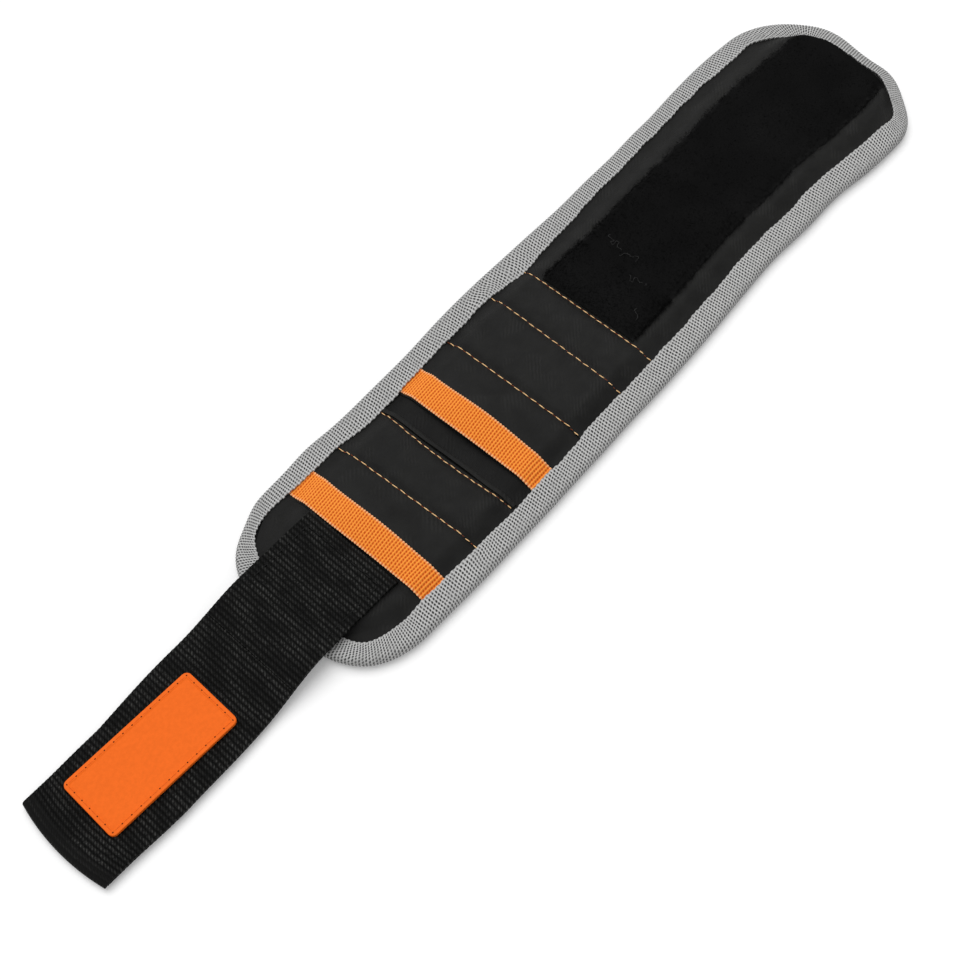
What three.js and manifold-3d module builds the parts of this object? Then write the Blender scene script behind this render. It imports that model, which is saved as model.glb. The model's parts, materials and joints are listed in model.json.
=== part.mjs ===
// A padded wrist band for screws and bits, laid out flat. Millimetres, +Z up.
// X runs along the band: the loop end is at +X and the strap tip at -X. Y runs across it.
// The back lining rests on Z = 0 and the origin is under the middle of the whole length.

import * as THREE from "three";
import { mergeVertices } from "three/addons/utils/BufferGeometryUtils.js";
import Module from "manifold-3d";

const wasm = await Module();
wasm.setup();

// Driving dimensions: the outline
const bodyWidth = 90;
const loopCornerRadius = 30;
const strapCornerRadius = 32;

// Driving dimensions: stretches of the band, one after another from the loop end to the strap tip
const loopFaceLength = 185.1;
const narrowChannelLength = 20.1;
const wideChannelLength = 25.9;
const farPocketDepth = 29.6;
const pocketSpacing = 11;
const nearChannelLength = 22.7;
const nearPocketDepth = 28;
const strapEndLength = 40.1;
const strapReach = 112.5;

// Driving dimensions: creases and how far each keeps from its seam or mouth
const tipPanelLength = 80;
const seamMargin = 1.5;
const foldMargin = 1.2;
const mouthMargin = 0.8;
const strapStartMargin = 0.8;

// Driving dimensions: layers, from the floor up
const layerGap = 0.3;
const tapeThickness = 0.8;
const tapeCover = 10.3;
const tapeCoverUnder = 9;
const tapeRound = 1.4;
const tapeSideBow = 0.35;
const liningEdgeThickness = 0.6;
const foamEdgeThickness = 1.2;
const foamThickness = 3.8;
const faceEdgeThickness = 0.6;
const faceThickness = 0.8;
const loopThickness = 1.6;
const loopWidth = 48;
const shoulderWidth = 5.2;
const shoulderClearance = 0.5;
const liningStep = 0.4;
const channelPuff = 1.4;

// Driving dimensions: pockets and their elastic hems
const ribbonWidth = 12;
const ribbonThickness = 0.9;
const pocketBulge = 4.2;
const pocketSideClearance = 0.4;

// Driving dimensions: magnets and thread
const magnetRadius = 4.5;
const magnetPitch = 12;
const magnetThickness = 2;
const magnetEndMargin = 0.4;
const carrierThickness = 0.4;
const carrierMargin = 1.5;
const recessHeadroom = 0.1;
const threadThickness = 0.5;
const stitchPitch = 3.9;
const stitchLift = 0.3;

// Driving dimensions: the strap
const strapWidth = 46;
const strapThickness = 1.6;
const strapOffset = 3.9;
const hookThickness = 1.5;
const hookSideMargin = 2;
const hookNeckMargin = 4;
const hookHemMargin = 1.5;
const hemTurn = 12;
const tipBow = 2.6;
const boxStitchEndMargin = 5;
const boxStitchSideMargin = 4;

// Driving dimensions: the rubber label
const labelLength = 59.5;
const labelWidth = 28.5;
const labelThickness = 1.4;
const labelRadius = 3;
const labelBorder = 3.2;
const labelFieldDepth = 0.3;
const labelFromTip = 16.3;
const labelFromNeck = 3.7;
const labelOffset = 1.6;
const labelStitchInset = 1.7;

// Counts, angles and shares
const cornerSteps = 7;
const channelSteps = 6;
const pocketSteps = 6;
const ribbonSteps = 3;
const neckSteps = 10;
const magnetSides = 16;
const strapLean = THREE.MathUtils.degToRad(-1.76);
const labelLean = THREE.MathUtils.degToRad(-0.9);
const farInsetShare = 0.55;
const mouthBulgeShare = 0.3;
const puffEdgePower = 4;
const shoulderShares = [[0, 0], [0.45, 0.62], [1, 1]];
const rowShares = [0, 0.25, 0.5, 0.72, 0.88, 1];

// Levels worked out from the layers
const edgeInset = tapeThickness + layerGap;
const liningEdgeBottom = tapeThickness + layerGap;
const liningTop = liningEdgeBottom + liningEdgeThickness;
const foamBottom = liningTop + layerGap;
const foamEdgeTop = foamBottom + foamEdgeThickness;
const foamTop = foamBottom + foamThickness;
const faceEdgeBottom = foamEdgeTop + layerGap;
const faceEdgeTop = faceEdgeBottom + faceEdgeThickness;
const faceBottom = foamTop + layerGap;
const faceTop = faceBottom + faceThickness;
const tapeUpperLevel = faceEdgeTop + layerGap;
const tapeTop = tapeUpperLevel + tapeThickness;
const loopEdgeBottom = faceEdgeTop + layerGap;
const loopBottom = faceTop + layerGap;
const strapLevel = faceTop + layerGap;
const tipLevel = hookThickness + layerGap;
const shoulderStart = tapeCover + shoulderClearance;

// Places measured back from the loop end
const seam1At = loopFaceLength;
const seam2At = seam1At + narrowChannelLength;
const seam3At = seam2At + wideChannelLength;
const farMouthAt = seam3At + farPocketDepth;
const seam4At = farMouthAt + pocketSpacing;
const seam5At = seam4At + nearChannelLength;
const nearMouthAt = seam5At + nearPocketDepth;
const bodyLength = nearMouthAt + strapEndLength;
const overallLength = bodyLength + strapReach;

// Places along X
const halfWidth = bodyWidth / 2;
const loopEnd = overallLength / 2;
const strapTip = -overallLength / 2;
const back = (distance) => loopEnd - distance;
const bodyEnd = back(bodyLength);
const foldEdge = back(seam4At) + foldMargin;
const tipCrease = back(tipPanelLength);
const seam1Crease = back(seam1At) + seamMargin;
const loopCrease = (tipCrease + seam1Crease) / 2;
const seam3Crease = back(seam3At) - seamMargin;
const gapCrease = (back(farMouthAt) + foldEdge) / 2;
const seam5Crease = back(seam5At) - seamMargin;
const mouthCrease = back(nearMouthAt) - mouthMargin;
const strapStart = mouthCrease - strapStartMargin;
const neckStart = bodyEnd + (tapeThickness - layerGap);
const neckEnd = strapTip + labelFromTip + labelLength + labelFromNeck;

// The band bends at its creases, so every layer is made of one piece between each two creases
const segments = [
  { name: "loop_tip", from: tipCrease, to: loopEnd },
  { name: "loop_mid", from: loopCrease, to: tipCrease },
  { name: "loop_root", from: seam1Crease, to: loopCrease },
  { name: "far_magnets", from: seam3Crease, to: seam1Crease },
  { name: "far_pocket", from: gapCrease, to: seam3Crease },
  { name: "near_magnets", from: seam5Crease, to: gapCrease },
  { name: "near_pocket", from: mouthCrease, to: seam5Crease },
  { name: "strap_end", from: bodyEnd, to: mouthCrease },
];

const colours = {
  lining: 0x1c1c1e,
  foam: 0x3a3a3c,
  face: 0x262627,
  tape: 0x9a9a98,
  loop: 0x101011,
  ribbon: 0xf98230,
  webbing: 0x1a1a1a,
  hook: 0x151516,
  label: 0xff7323,
  thread: 0xcdaf91,
  darkThread: 0x222222,
  magnet: 0xb8bcc0,
};

const band = new THREE.Group();
const strap = new THREE.Group();
strap.position.set(strapStart, -strapOffset, 0);
strap.rotation.z = strapLean;
band.add(strap);

function finish(colour, roughness, metalness) {
  return new THREE.MeshStandardMaterial({ color: colour, roughness, metalness });
}

const matt = 0.9;
const satin = 0.5;
const bare = 0;
const metal = 1;

function place(parent, name, geometry, material) {
  const mesh = new THREE.Mesh(geometry, material);
  mesh.name = name;
  parent.add(mesh);
  return mesh;
}

// Closed meshes and solids

function closedGeometry(points, faces) {
  const geometry = new THREE.BufferGeometry();
  const flat = points.flatMap((p) => [p.x, p.y, p.z]);
  geometry.setAttribute("position", new THREE.Float32BufferAttribute(flat, 3));
  geometry.setIndex(faces.flat());
  geometry.computeVertexNormals();
  return geometry;
}

function toSolid(geometry) {
  const plain = geometry.clone();
  plain.deleteAttribute("normal");
  plain.deleteAttribute("uv");
  const merged = mergeVertices(plain);
  return new wasm.Manifold(new wasm.Mesh({
    numProp: 3,
    vertProperties: new Float32Array(merged.attributes.position.array),
    triVerts: new Uint32Array(merged.index.array),
  }));
}

function toGeometry(solid) {
  const mesh = solid.getMesh();
  const geometry = new THREE.BufferGeometry();
  const positions = new Float32Array(mesh.vertProperties);
  geometry.setAttribute("position", new THREE.BufferAttribute(positions, 3));
  geometry.setIndex(new THREE.BufferAttribute(new Uint32Array(mesh.triVerts), 1));
  geometry.computeVertexNormals();
  return geometry;
}

function block(x0, x1, y0, y1, z0, z1) {
  const geometry = new THREE.BoxGeometry(x1 - x0, y1 - y0, z1 - z0);
  geometry.translate((x0 + x1) / 2, (y0 + y1) / 2, (z0 + z1) / 2);
  return toSolid(geometry);
}

// One turn round the rounded outline, drawn in by an inset, at one height.
// Past the edge of the layers the far end is drawn in less than the sides.
function outline(inset, z) {
  const beyond = Math.max(0, inset - edgeInset);
  const farEnd = loopEnd - Math.min(inset, edgeInset) - beyond * farInsetShare;
  const nearEnd = bodyEnd + inset;
  const side = halfWidth - inset;
  const farRadius = loopCornerRadius - inset;
  const nearRadius = strapCornerRadius - inset;
  const corners = [
    { x: farEnd - farRadius, y: farRadius - side, radius: farRadius, start: -Math.PI / 2 },
    { x: farEnd - farRadius, y: side - farRadius, radius: farRadius, start: 0 },
    { x: nearEnd + nearRadius, y: side - nearRadius, radius: nearRadius, start: Math.PI / 2 },
    { x: nearEnd + nearRadius, y: nearRadius - side, radius: nearRadius, start: Math.PI },
  ];
  const points = [];
  for (const corner of corners) {
    for (let step = 0; step <= cornerSteps; step += 1) {
      const angle = corner.start + (step / cornerSteps) * (Math.PI / 2);
      const x = corner.x + corner.radius * Math.cos(angle);
      const y = corner.y + corner.radius * Math.sin(angle);
      points.push(new THREE.Vector3(x, y, z));
    }
  }
  return points;
}

// A closed body through outlines listed as [inset, height], from the bottom centre
// outwards, up and back in over the top. A section that closes on itself makes a ring.
function loft(profile, isRing) {
  const rings = profile.map(([inset, z]) => outline(inset, z));
  const count = rings[0].length;
  const points = rings.flat();
  const faces = [];
  const last = isRing ? rings.length : rings.length - 1;
  for (let level = 0; level < last; level += 1) {
    const low = level * count;
    const high = ((level + 1) % rings.length) * count;
    for (let i = 0; i < count; i += 1) {
      const j = (i + 1) % count;
      faces.push([low + i, low + j, high + j], [low + i, high + j, high + i]);
    }
  }
  if (!isRing) {
    const top = (rings.length - 1) * count;
    for (let i = 1; i < count - 1; i += 1) {
      faces.push([0, i + 1, i], [top, top + i, top + i + 1]);
    }
  }
  return toSolid(closedGeometry(points, faces));
}

// The part of a body that lies between two creases, clear of both
function cutBetween(solid, from, to, yFrom, yTo) {
  const x0 = from === bodyEnd ? from - layerGap : from + layerGap / 2;
  const x1 = to === loopEnd ? to + layerGap : to - layerGap / 2;
  return solid.intersect(block(x0, x1, yFrom, yTo, -tapeTop, tapeTop + loopBottom));
}

// The shoulder of a layer: from its flat edge under the tape up to the crown
function shoulder(edgeLevel, crownLevel) {
  return shoulderShares.map(([across, up]) => [
    shoulderStart + across * shoulderWidth,
    edgeLevel + up * (crownLevel - edgeLevel),
  ]);
}

function levelAt(y, edgeLevel, crownLevel) {
  const inset = halfWidth - Math.abs(y);
  const path = shoulder(edgeLevel, crownLevel);
  if (inset <= path[0][0]) {
    return edgeLevel;
  }
  for (let i = 1; i < path.length; i += 1) {
    const [x0, z0] = path[i - 1];
    const [x1, z1] = path[i];
    if (inset <= x1) {
      return z0 + ((inset - x0) / (x1 - x0)) * (z1 - z0);
    }
  }
  return crownLevel;
}

// A closed sheet over a grid of places, with a height for its top and its underside
function sheet(places, ys, topLevel, underLevel) {
  const xs = [...places].sort((a, b) => a - b);
  const points = [];
  for (const level of [underLevel, topLevel]) {
    for (const x of xs) {
      for (const y of ys) {
        points.push(new THREE.Vector3(x, y, level(x, y)));
      }
    }
  }
  const rows = ys.length;
  const lift = xs.length * rows;
  const faces = [];
  for (let i = 0; i < xs.length - 1; i += 1) {
    for (let j = 0; j < rows - 1; j += 1) {
      const a = i * rows + j;
      const b = a + rows;
      faces.push([a, a + 1, b + 1], [a, b + 1, b]);
      faces.push([lift + a, lift + b + 1, lift + a + 1], [lift + a, lift + b, lift + b + 1]);
    }
  }
  const rim = [];
  for (let i = 0; i < xs.length - 1; i += 1) {
    rim.push(i * rows);
  }
  for (let j = 0; j < rows - 1; j += 1) {
    rim.push((xs.length - 1) * rows + j);
  }
  for (let i = xs.length - 1; i > 0; i -= 1) {
    rim.push(i * rows + rows - 1);
  }
  for (let j = rows - 1; j > 0; j -= 1) {
    rim.push(j);
  }
  for (let k = 0; k < rim.length; k += 1) {
    const a = rim[k];
    const b = rim[(k + 1) % rim.length];
    faces.push([a, b, lift + b], [a, lift + b, lift + a]);
  }
  return closedGeometry(points, faces);
}

function stepsBetween(from, to, steps) {
  return Array.from({ length: steps }, (_, i) => from + ((to - from) * i) / steps);
}

// Places across the band: dense where the shoulder bends, out to a half width
function rowsTo(outer) {
  const crown = halfWidth - shoulderStart - shoulderWidth;
  const knees = shoulderShares.map(([across]) => halfWidth - shoulderStart - across * shoulderWidth);
  const inner = rowShares.map((share) => share * crown);
  const half = [...inner, ...knees.filter((y) => y > crown && y < outer), outer];
  const sorted = [...new Set(half)].sort((a, b) => a - b);
  return [...sorted.slice(1).reverse().map((y) => -y), ...sorted];
}

// A stitched thread laid along a path: it rises over each stitch and dips between two
function thread(path, isClosed) {
  const half = threadThickness / 2;
  const count = path.length;
  const points = [];
  path.forEach((place3, k) => {
    const before = path[isClosed ? (k + count - 1) % count : Math.max(0, k - 1)];
    const after = path[isClosed ? (k + 1) % count : Math.min(count - 1, k + 1)];
    const along = after.clone().sub(before).setZ(0).normalize();
    const across = new THREE.Vector3(-along.y, along.x, 0).multiplyScalar(half);
    const raised = k % 2 === 1 ? stitchLift : 0;
    const middle = place3.clone();
    middle.z += half + raised;
    const up = new THREE.Vector3(0, 0, half);
    points.push(middle.clone().sub(up), middle.clone().add(across));
    points.push(middle.clone().add(up), middle.clone().sub(across));
  });
  const faces = [];
  const last = isClosed ? count : count - 1;
  for (let k = 0; k < last; k += 1) {
    const a = k * 4;
    const b = ((k + 1) % count) * 4;
    for (let i = 0; i < 4; i += 1) {
      const j = (i + 1) % 4;
      faces.push([a + i, b + j, b + i], [a + i, a + j, b + j]);
    }
  }
  if (!isClosed) {
    const end = (count - 1) * 4;
    faces.push([0, 2, 1], [0, 3, 2], [end, end + 1, end + 2], [end, end + 2, end + 3]);
  }
  return closedGeometry(points, faces);
}

// A closed walk round a rectangle, with an even number of places for whole stitches
function rectanglePath(length, width, z) {
  const corners = [[-1, -1], [1, -1], [1, 1], [-1, 1]];
  const path = [];
  corners.forEach(([sx, sy], k) => {
    const [ex, ey] = corners[(k + 1) % corners.length];
    const run = sx === ex ? width : length;
    const steps = 2 * Math.max(1, Math.round(run / stitchPitch));
    for (let i = 0; i < steps; i += 1) {
      const x = (length / 2) * (sx + ((ex - sx) * i) / steps);
      const y = (width / 2) * (sy + ((ey - sy) * i) / steps);
      path.push(new THREE.Vector3(x, y, z));
    }
  });
  return path;
}

// Back lining, foam and binding tape

const liningStart = tapeCoverUnder + layerGap;
const liningBody = loft([
  [liningStart + liningStep, 0],
  [liningStart, liningEdgeBottom],
  [edgeInset, liningEdgeBottom],
  [edgeInset, liningTop],
], false);

const foamBody = loft([
  [edgeInset, foamBottom],
  [edgeInset, foamEdgeTop],
  ...shoulder(foamEdgeTop, foamTop),
], false);

const faceBody = loft([
  ...shoulder(faceEdgeBottom, faceBottom).reverse(),
  [edgeInset, faceEdgeBottom],
  [edgeInset, faceEdgeTop],
  ...shoulder(faceEdgeTop, faceTop),
], false);

const loopBody = loft([
  ...shoulder(loopEdgeBottom, loopBottom).reverse(),
  ...shoulder(loopEdgeBottom + loopThickness, loopBottom + loopThickness),
], false);

const tapeBody = loft([
  [tapeCoverUnder, 0],
  [tapeRound, 0],
  [tapeSideBow, tapeThickness],
  [0, tapeTop / 2],
  [tapeSideBow, tapeTop - tapeThickness],
  [tapeRound, tapeTop],
  [tapeCover, tapeTop],
  [tapeCover, tapeUpperLevel],
  [tapeThickness, tapeUpperLevel],
  [tapeThickness, tapeThickness],
  [tapeCoverUnder, tapeThickness],
], true);

// Magnets: rows of discs on a carrier strip, each row in a recess of the foam under its channel

const magnetRows = [
  { name: "magnet_row_1", x: (back(seam1At) + back(seam2At)) / 2 },
  { name: "magnet_row_2", x: (back(seam2At) + back(seam3At)) / 2 },
  { name: "magnet_row_3", x: (back(seam4At) + back(seam5At)) / 2 },
];
const recessDepth = layerGap + carrierThickness + magnetThickness + recessHeadroom;
const recessFloor = foamTop - recessDepth;
const carrierLevel = recessFloor + layerGap;

// As many magnets as lie side by side under the flat crown of the band
const magnetField = 2 * (halfWidth - shoulderStart - shoulderWidth - magnetEndMargin);
const magnetCount = 1 + Math.floor((magnetField - 2 * magnetRadius) / magnetPitch);
const carrierWidth = 2 * (magnetRadius + carrierMargin);
const carrierLength = (magnetCount - 1) * magnetPitch + carrierWidth;

function magnetRow(x) {
  const discHeight = carrierThickness + magnetThickness;
  const half = carrierLength / 2;
  const top = carrierLevel + carrierThickness;
  let row = block(x - carrierWidth / 2, x + carrierWidth / 2, -half, half, carrierLevel, top);
  for (let i = 0; i < magnetCount; i += 1) {
    const disc = new THREE.CylinderGeometry(magnetRadius, magnetRadius, discHeight, magnetSides);
    disc.rotateX(Math.PI / 2);
    const y = (i - (magnetCount - 1) / 2) * magnetPitch;
    disc.translate(x, y, carrierLevel + discHeight / 2);
    row = row.add(toSolid(disc));
  }
  return row;
}

let foamWithRecesses = foamBody;
for (const row of magnetRows) {
  const halfX = carrierWidth / 2 + layerGap;
  const halfY = carrierLength / 2 + layerGap;
  const recess = block(row.x - halfX, row.x + halfX, -halfY, halfY, recessFloor, foamTop + layerGap);
  foamWithRecesses = foamWithRecesses.subtract(recess);
  place(band, row.name, toGeometry(magnetRow(row.x)), finish(colours.magnet, satin, metal));
}

for (const { name, from, to } of segments) {
  const isEnd = from === bodyEnd || to === loopEnd;
  const whole = (solid) => toGeometry(cutBetween(solid, from, to, -halfWidth, halfWidth));
  place(band, `lining_${name}`, whole(liningBody), finish(colours.lining, matt, bare));
  place(band, `foam_${name}`, whole(foamWithRecesses), finish(colours.foam, matt, bare));
  if (isEnd) {
    place(band, `binding_${name}`, whole(tapeBody), finish(colours.tape, matt, bare));
  } else {
    const left = cutBetween(tapeBody, from, to, 0, halfWidth);
    const right = cutBetween(tapeBody, from, to, -halfWidth, 0);
    place(band, `binding_left_${name}`, toGeometry(left), finish(colours.tape, matt, bare));
    place(band, `binding_right_${name}`, toGeometry(right), finish(colours.tape, matt, bare));
  }
}

// Plain face cloth with the loop panel on it, and the plain face under the strap

for (const { name, from, to } of segments) {
  const isLoop = from >= seam1Crease;
  if (isLoop || from === bodyEnd) {
    const cloth = cutBetween(faceBody, from, to, -halfWidth, halfWidth);
    place(band, `face_${name}`, toGeometry(cloth), finish(colours.face, satin, bare));
  }
  if (isLoop) {
    const panel = cutBetween(loopBody, from, to, -loopWidth / 2, loopWidth / 2);
    place(band, `loop_panel_${name}`, toGeometry(panel), finish(colours.loop, matt, bare));
  }
}

// Stitched channels: the face rises between two seams and lies flat along each seam

function puffBetween(x, seams) {
  for (let i = 1; i < seams.length; i += 1) {
    if (x < seams[i - 1] && x > seams[i]) {
      return Math.sin((Math.PI * (seams[i - 1] - x)) / (seams[i - 1] - seams[i]));
    }
  }
  return 0;
}

function quiltedFace(from, to, seams) {
  const tapeEdge = halfWidth - shoulderStart;
  const puff = (x, y) => {
    const across = Math.min(1, Math.abs(y) / tapeEdge) ** puffEdgePower;
    return channelPuff * puffBetween(x, seams) * (1 - across);
  };
  const xs = [from];
  for (let i = 1; i < seams.length; i += 1) {
    xs.push(...stepsBetween(seams[i - 1], seams[i], channelSteps));
  }
  xs.push(seams[seams.length - 1], to);
  return sheet(
    xs,
    rowsTo(halfWidth - edgeInset),
    (x, y) => levelAt(y, faceEdgeTop, faceTop) + puff(x, y),
    (x, y) => levelAt(y, faceEdgeBottom, faceBottom),
  );
}

const farSeams = [back(seam1At), back(seam2At), back(seam3At)];
const nearSeams = [back(seam4At), back(seam5At)];
const farQuilt = quiltedFace(seam1Crease - layerGap / 2, seam3Crease + layerGap / 2, farSeams);
const nearQuilt = quiltedFace(foldEdge, seam5Crease + layerGap / 2, nearSeams);
place(band, "quilted_face_far", farQuilt, finish(colours.face, satin, bare));
place(band, "quilted_face_near", nearQuilt, finish(colours.face, satin, bare));

// Pocket panels: sewn down along a seam, bulging towards the elastic hem of the mouth

const pocketHalfWidth = halfWidth - tapeCover - pocketSideClearance;

function pocketShape(start, mouth) {
  const crest = mouth + ribbonWidth;
  return (x, y) => {
    const across = Math.cos((Math.PI / 2) * Math.min(1, Math.abs(y) / pocketHalfWidth)) ** 2;
    const rise = THREE.MathUtils.smoothstep(start - x, 0, start - crest);
    const fall = Math.max(0, (crest - x) / ribbonWidth) * (1 - mouthBulgeShare);
    return pocketBulge * across * (rise - fall);
  };
}

function pocketPanel(start, mouth, bulge) {
  const crest = mouth + ribbonWidth;
  const xs = [...stepsBetween(start, crest, pocketSteps), ...stepsBetween(crest, mouth, ribbonSteps)];
  return sheet(
    [...xs, mouth],
    rowsTo(pocketHalfWidth),
    (x, y) => levelAt(y, faceEdgeTop, faceTop) + bulge(x, y),
    (x, y) => levelAt(y, faceEdgeBottom, faceBottom) + bulge(x, y),
  );
}

function pocketHem(mouth, bulge) {
  const under = (x, y) => levelAt(y, faceEdgeTop, faceTop) + bulge(x, y) + layerGap;
  return sheet(
    [...stepsBetween(mouth + ribbonWidth, mouth, ribbonSteps), mouth],
    rowsTo(pocketHalfWidth),
    (x, y) => under(x, y) + ribbonThickness,
    under,
  );
}

const pockets = [
  { name: "far", start: seam3Crease - layerGap / 2, mouth: back(farMouthAt) },
  { name: "near", start: seam5Crease - layerGap / 2, mouth: back(nearMouthAt) },
];
for (const { name, start, mouth } of pockets) {
  const bulge = pocketShape(start, mouth);
  const panel = pocketPanel(start, mouth, bulge);
  const hem = pocketHem(mouth, bulge);
  place(band, `pocket_panel_${name}`, panel, finish(colours.face, satin, bare));
  place(band, `elastic_hem_${name}`, hem, finish(colours.ribbon, matt, bare));
}

// Seam threads, one line of stitches across the face at each seam

function seamThread(x) {
  const reach = halfWidth - shoulderStart;
  const steps = 2 * Math.round((2 * reach) / stitchPitch);
  const path = [];
  for (let i = 0; i <= steps; i += 1) {
    const y = -reach + (2 * reach * i) / steps;
    path.push(new THREE.Vector3(x, y, levelAt(y, faceEdgeTop, faceTop) + layerGap));
  }
  return thread(path, false);
}

[...farSeams, ...nearSeams].forEach((x, i) => {
  place(band, `seam_thread_${i + 1}`, seamThread(x), finish(colours.thread, satin, bare));
});

// The strap, drawn from the start of its webbing towards the tip along -X of its own group

const strapX = (x) => x - strapStart;

function alongStrap(outlinePoints, width) {
  const shape = new THREE.Shape(outlinePoints.map(([x, z]) => new THREE.Vector2(x, z)));
  const geometry = new THREE.ExtrudeGeometry(shape, { depth: width, bevelEnabled: false });
  geometry.rotateX(Math.PI / 2);
  geometry.translate(0, width / 2, 0);
  return geometry;
}

function webbingBase() {
  const from = strapX(neckStart) + layerGap / 2;
  const top = strapLevel + strapThickness;
  return alongStrap([[from, strapLevel], [0, strapLevel], [0, top], [from, top]], strapWidth);
}

// The neck falls from the top of the body to the floor in one easy S
function webbingNeck() {
  const from = strapX(neckStart) - layerGap / 2;
  const to = strapX(neckEnd) + layerGap / 2;
  const under = [];
  for (let i = 0; i <= neckSteps; i += 1) {
    const share = i / neckSteps;
    const fall = THREE.MathUtils.smoothstep(share, 0, 1);
    under.push([from + (to - from) * share, strapLevel + (tipLevel - strapLevel) * fall]);
  }
  const over = under.map(([x, z]) => [x, z + strapThickness]).reverse();
  return alongStrap([...under, ...over], strapWidth);
}

// The tip is folded back under itself, and its end bows outwards
function webbingTip() {
  const from = strapX(neckEnd) - layerGap / 2;
  const end = strapX(strapTip);
  const top = tipLevel + strapThickness;
  const profile = alongStrap([
    [from, tipLevel], [end + strapThickness, tipLevel], [end + strapThickness, hookThickness],
    [end + hemTurn, hookThickness], [end + hemTurn, 0], [end, 0], [end, top], [from, top],
  ], strapWidth);
  const plan = new THREE.Shape();
  const side = strapWidth / 2;
  plan.moveTo(end + tipBow, -side);
  plan.quadraticCurveTo(end - tipBow, 0, end + tipBow, side);
  plan.lineTo(from, side);
  plan.lineTo(from, -side);
  plan.closePath();
  const cutter = new THREE.ExtrudeGeometry(plan, {
    depth: top, bevelEnabled: false, curveSegments: neckSteps,
  });
  return toGeometry(toSolid(profile).intersect(toSolid(cutter)));
}

const webbing = () => finish(colours.webbing, matt, bare);
place(strap, "webbing_base", webbingBase(), webbing());
place(strap, "webbing_neck", webbingNeck(), webbing());
place(strap, "webbing_tip", webbingTip(), webbing());

const hookStart = strapX(neckEnd) - hookNeckMargin;
const hookEnd = strapX(strapTip) + hemTurn + hookHemMargin;
const hookWidth = strapWidth - 2 * hookSideMargin;
const hookOutline = [
  [hookEnd, 0], [hookStart, 0], [hookStart, hookThickness], [hookEnd, hookThickness],
];
place(strap, "hook_panel", alongStrap(hookOutline, hookWidth), finish(colours.hook, matt, bare));

const baseLength = -strapX(neckStart);
const boxLength = baseLength - 2 * boxStitchEndMargin;
const boxWidth = strapWidth - 2 * boxStitchSideMargin;
const boxPath = rectanglePath(boxLength, boxWidth, strapLevel + strapThickness + layerGap);
const boxThread = thread(boxPath, true);
boxThread.translate(-baseLength / 2, 0, 0);
place(strap, "strap_box_stitch", boxThread, finish(colours.darkThread, satin, bare));

// The rubber label, with a border standing round a lower field, and its stitching

function roundedPlate(length, width, radius, height) {
  const shape = new THREE.Shape();
  const x = length / 2 - radius;
  const y = width / 2 - radius;
  shape.absarc(x, y, radius, 0, Math.PI / 2);
  shape.absarc(-x, y, radius, Math.PI / 2, Math.PI);
  shape.absarc(-x, -y, radius, Math.PI, Math.PI * 1.5);
  shape.absarc(x, -y, radius, Math.PI * 1.5, Math.PI * 2);
  shape.closePath();
  const settings = { depth: height, bevelEnabled: false, curveSegments: cornerSteps };
  return toSolid(new THREE.ExtrudeGeometry(shape, settings));
}

const label = new THREE.Group();
const labelX = strapX(strapTip) + labelFromTip + labelLength / 2;
label.position.set(labelX, labelOffset, tipLevel + strapThickness + layerGap);
label.rotation.z = labelLean;
strap.add(label);

const fieldRadius = labelRadius - labelRadius / 2;
const fieldLength = labelLength - 2 * labelBorder;
const fieldWidth = labelWidth - 2 * labelBorder;
const field = roundedPlate(fieldLength, fieldWidth, fieldRadius, labelThickness)
  .translate([0, 0, labelThickness - labelFieldDepth]);
const plate = roundedPlate(labelLength, labelWidth, labelRadius, labelThickness).subtract(field);
place(label, "label", toGeometry(plate), finish(colours.label, satin, bare));

const stitchLength = labelLength - 2 * labelStitchInset;
const stitchWidth = labelWidth - 2 * labelStitchInset;
const labelPath = rectanglePath(stitchLength, stitchWidth, labelThickness + layerGap);
place(label, "label_stitch", thread(labelPath, true), finish(colours.label, satin, bare));

export default band;
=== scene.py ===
# %% [markdown]
# # A magnetic wristband, dressed in cloth
# The real band is a soft sandwich. A black air-mesh lining lies under a thin foam pad, a smooth
# black cloth covers the pad, and one grey tape is folded over the edge all round. Rows of magnets
# hide in stitched channels, two pockets have orange elastic mouths, and a webbing strap with a
# rubber label closes on a panel of brushed loops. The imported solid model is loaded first, because
# every piece here takes its place from it.

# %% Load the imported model
import json
import math

import bmesh
import bpy
import numpy as np
from mathutils import Matrix, Vector


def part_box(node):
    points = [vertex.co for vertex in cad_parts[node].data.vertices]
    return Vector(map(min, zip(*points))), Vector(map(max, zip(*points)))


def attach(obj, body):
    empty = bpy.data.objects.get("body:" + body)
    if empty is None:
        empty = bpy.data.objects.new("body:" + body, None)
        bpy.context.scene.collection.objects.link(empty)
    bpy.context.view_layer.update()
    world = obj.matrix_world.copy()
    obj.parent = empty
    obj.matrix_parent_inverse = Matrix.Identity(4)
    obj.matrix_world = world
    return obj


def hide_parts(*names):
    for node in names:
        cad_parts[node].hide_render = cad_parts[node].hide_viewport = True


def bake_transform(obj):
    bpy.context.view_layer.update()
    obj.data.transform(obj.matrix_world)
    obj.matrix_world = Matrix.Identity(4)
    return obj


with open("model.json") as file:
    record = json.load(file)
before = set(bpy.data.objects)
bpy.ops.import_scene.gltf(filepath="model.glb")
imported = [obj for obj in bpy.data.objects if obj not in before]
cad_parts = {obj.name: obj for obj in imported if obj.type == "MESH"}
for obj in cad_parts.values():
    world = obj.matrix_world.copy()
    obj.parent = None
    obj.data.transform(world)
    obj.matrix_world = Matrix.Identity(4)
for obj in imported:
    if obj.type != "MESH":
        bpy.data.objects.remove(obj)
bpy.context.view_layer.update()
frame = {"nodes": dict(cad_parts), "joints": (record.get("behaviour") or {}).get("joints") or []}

# %% [markdown]
# ## Sizes that come from the model
# Blender works in metres, and the band is measured in millimetres, so one name holds the unit.
# Places are read from the boxes of the solids that each piece stands for.

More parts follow.
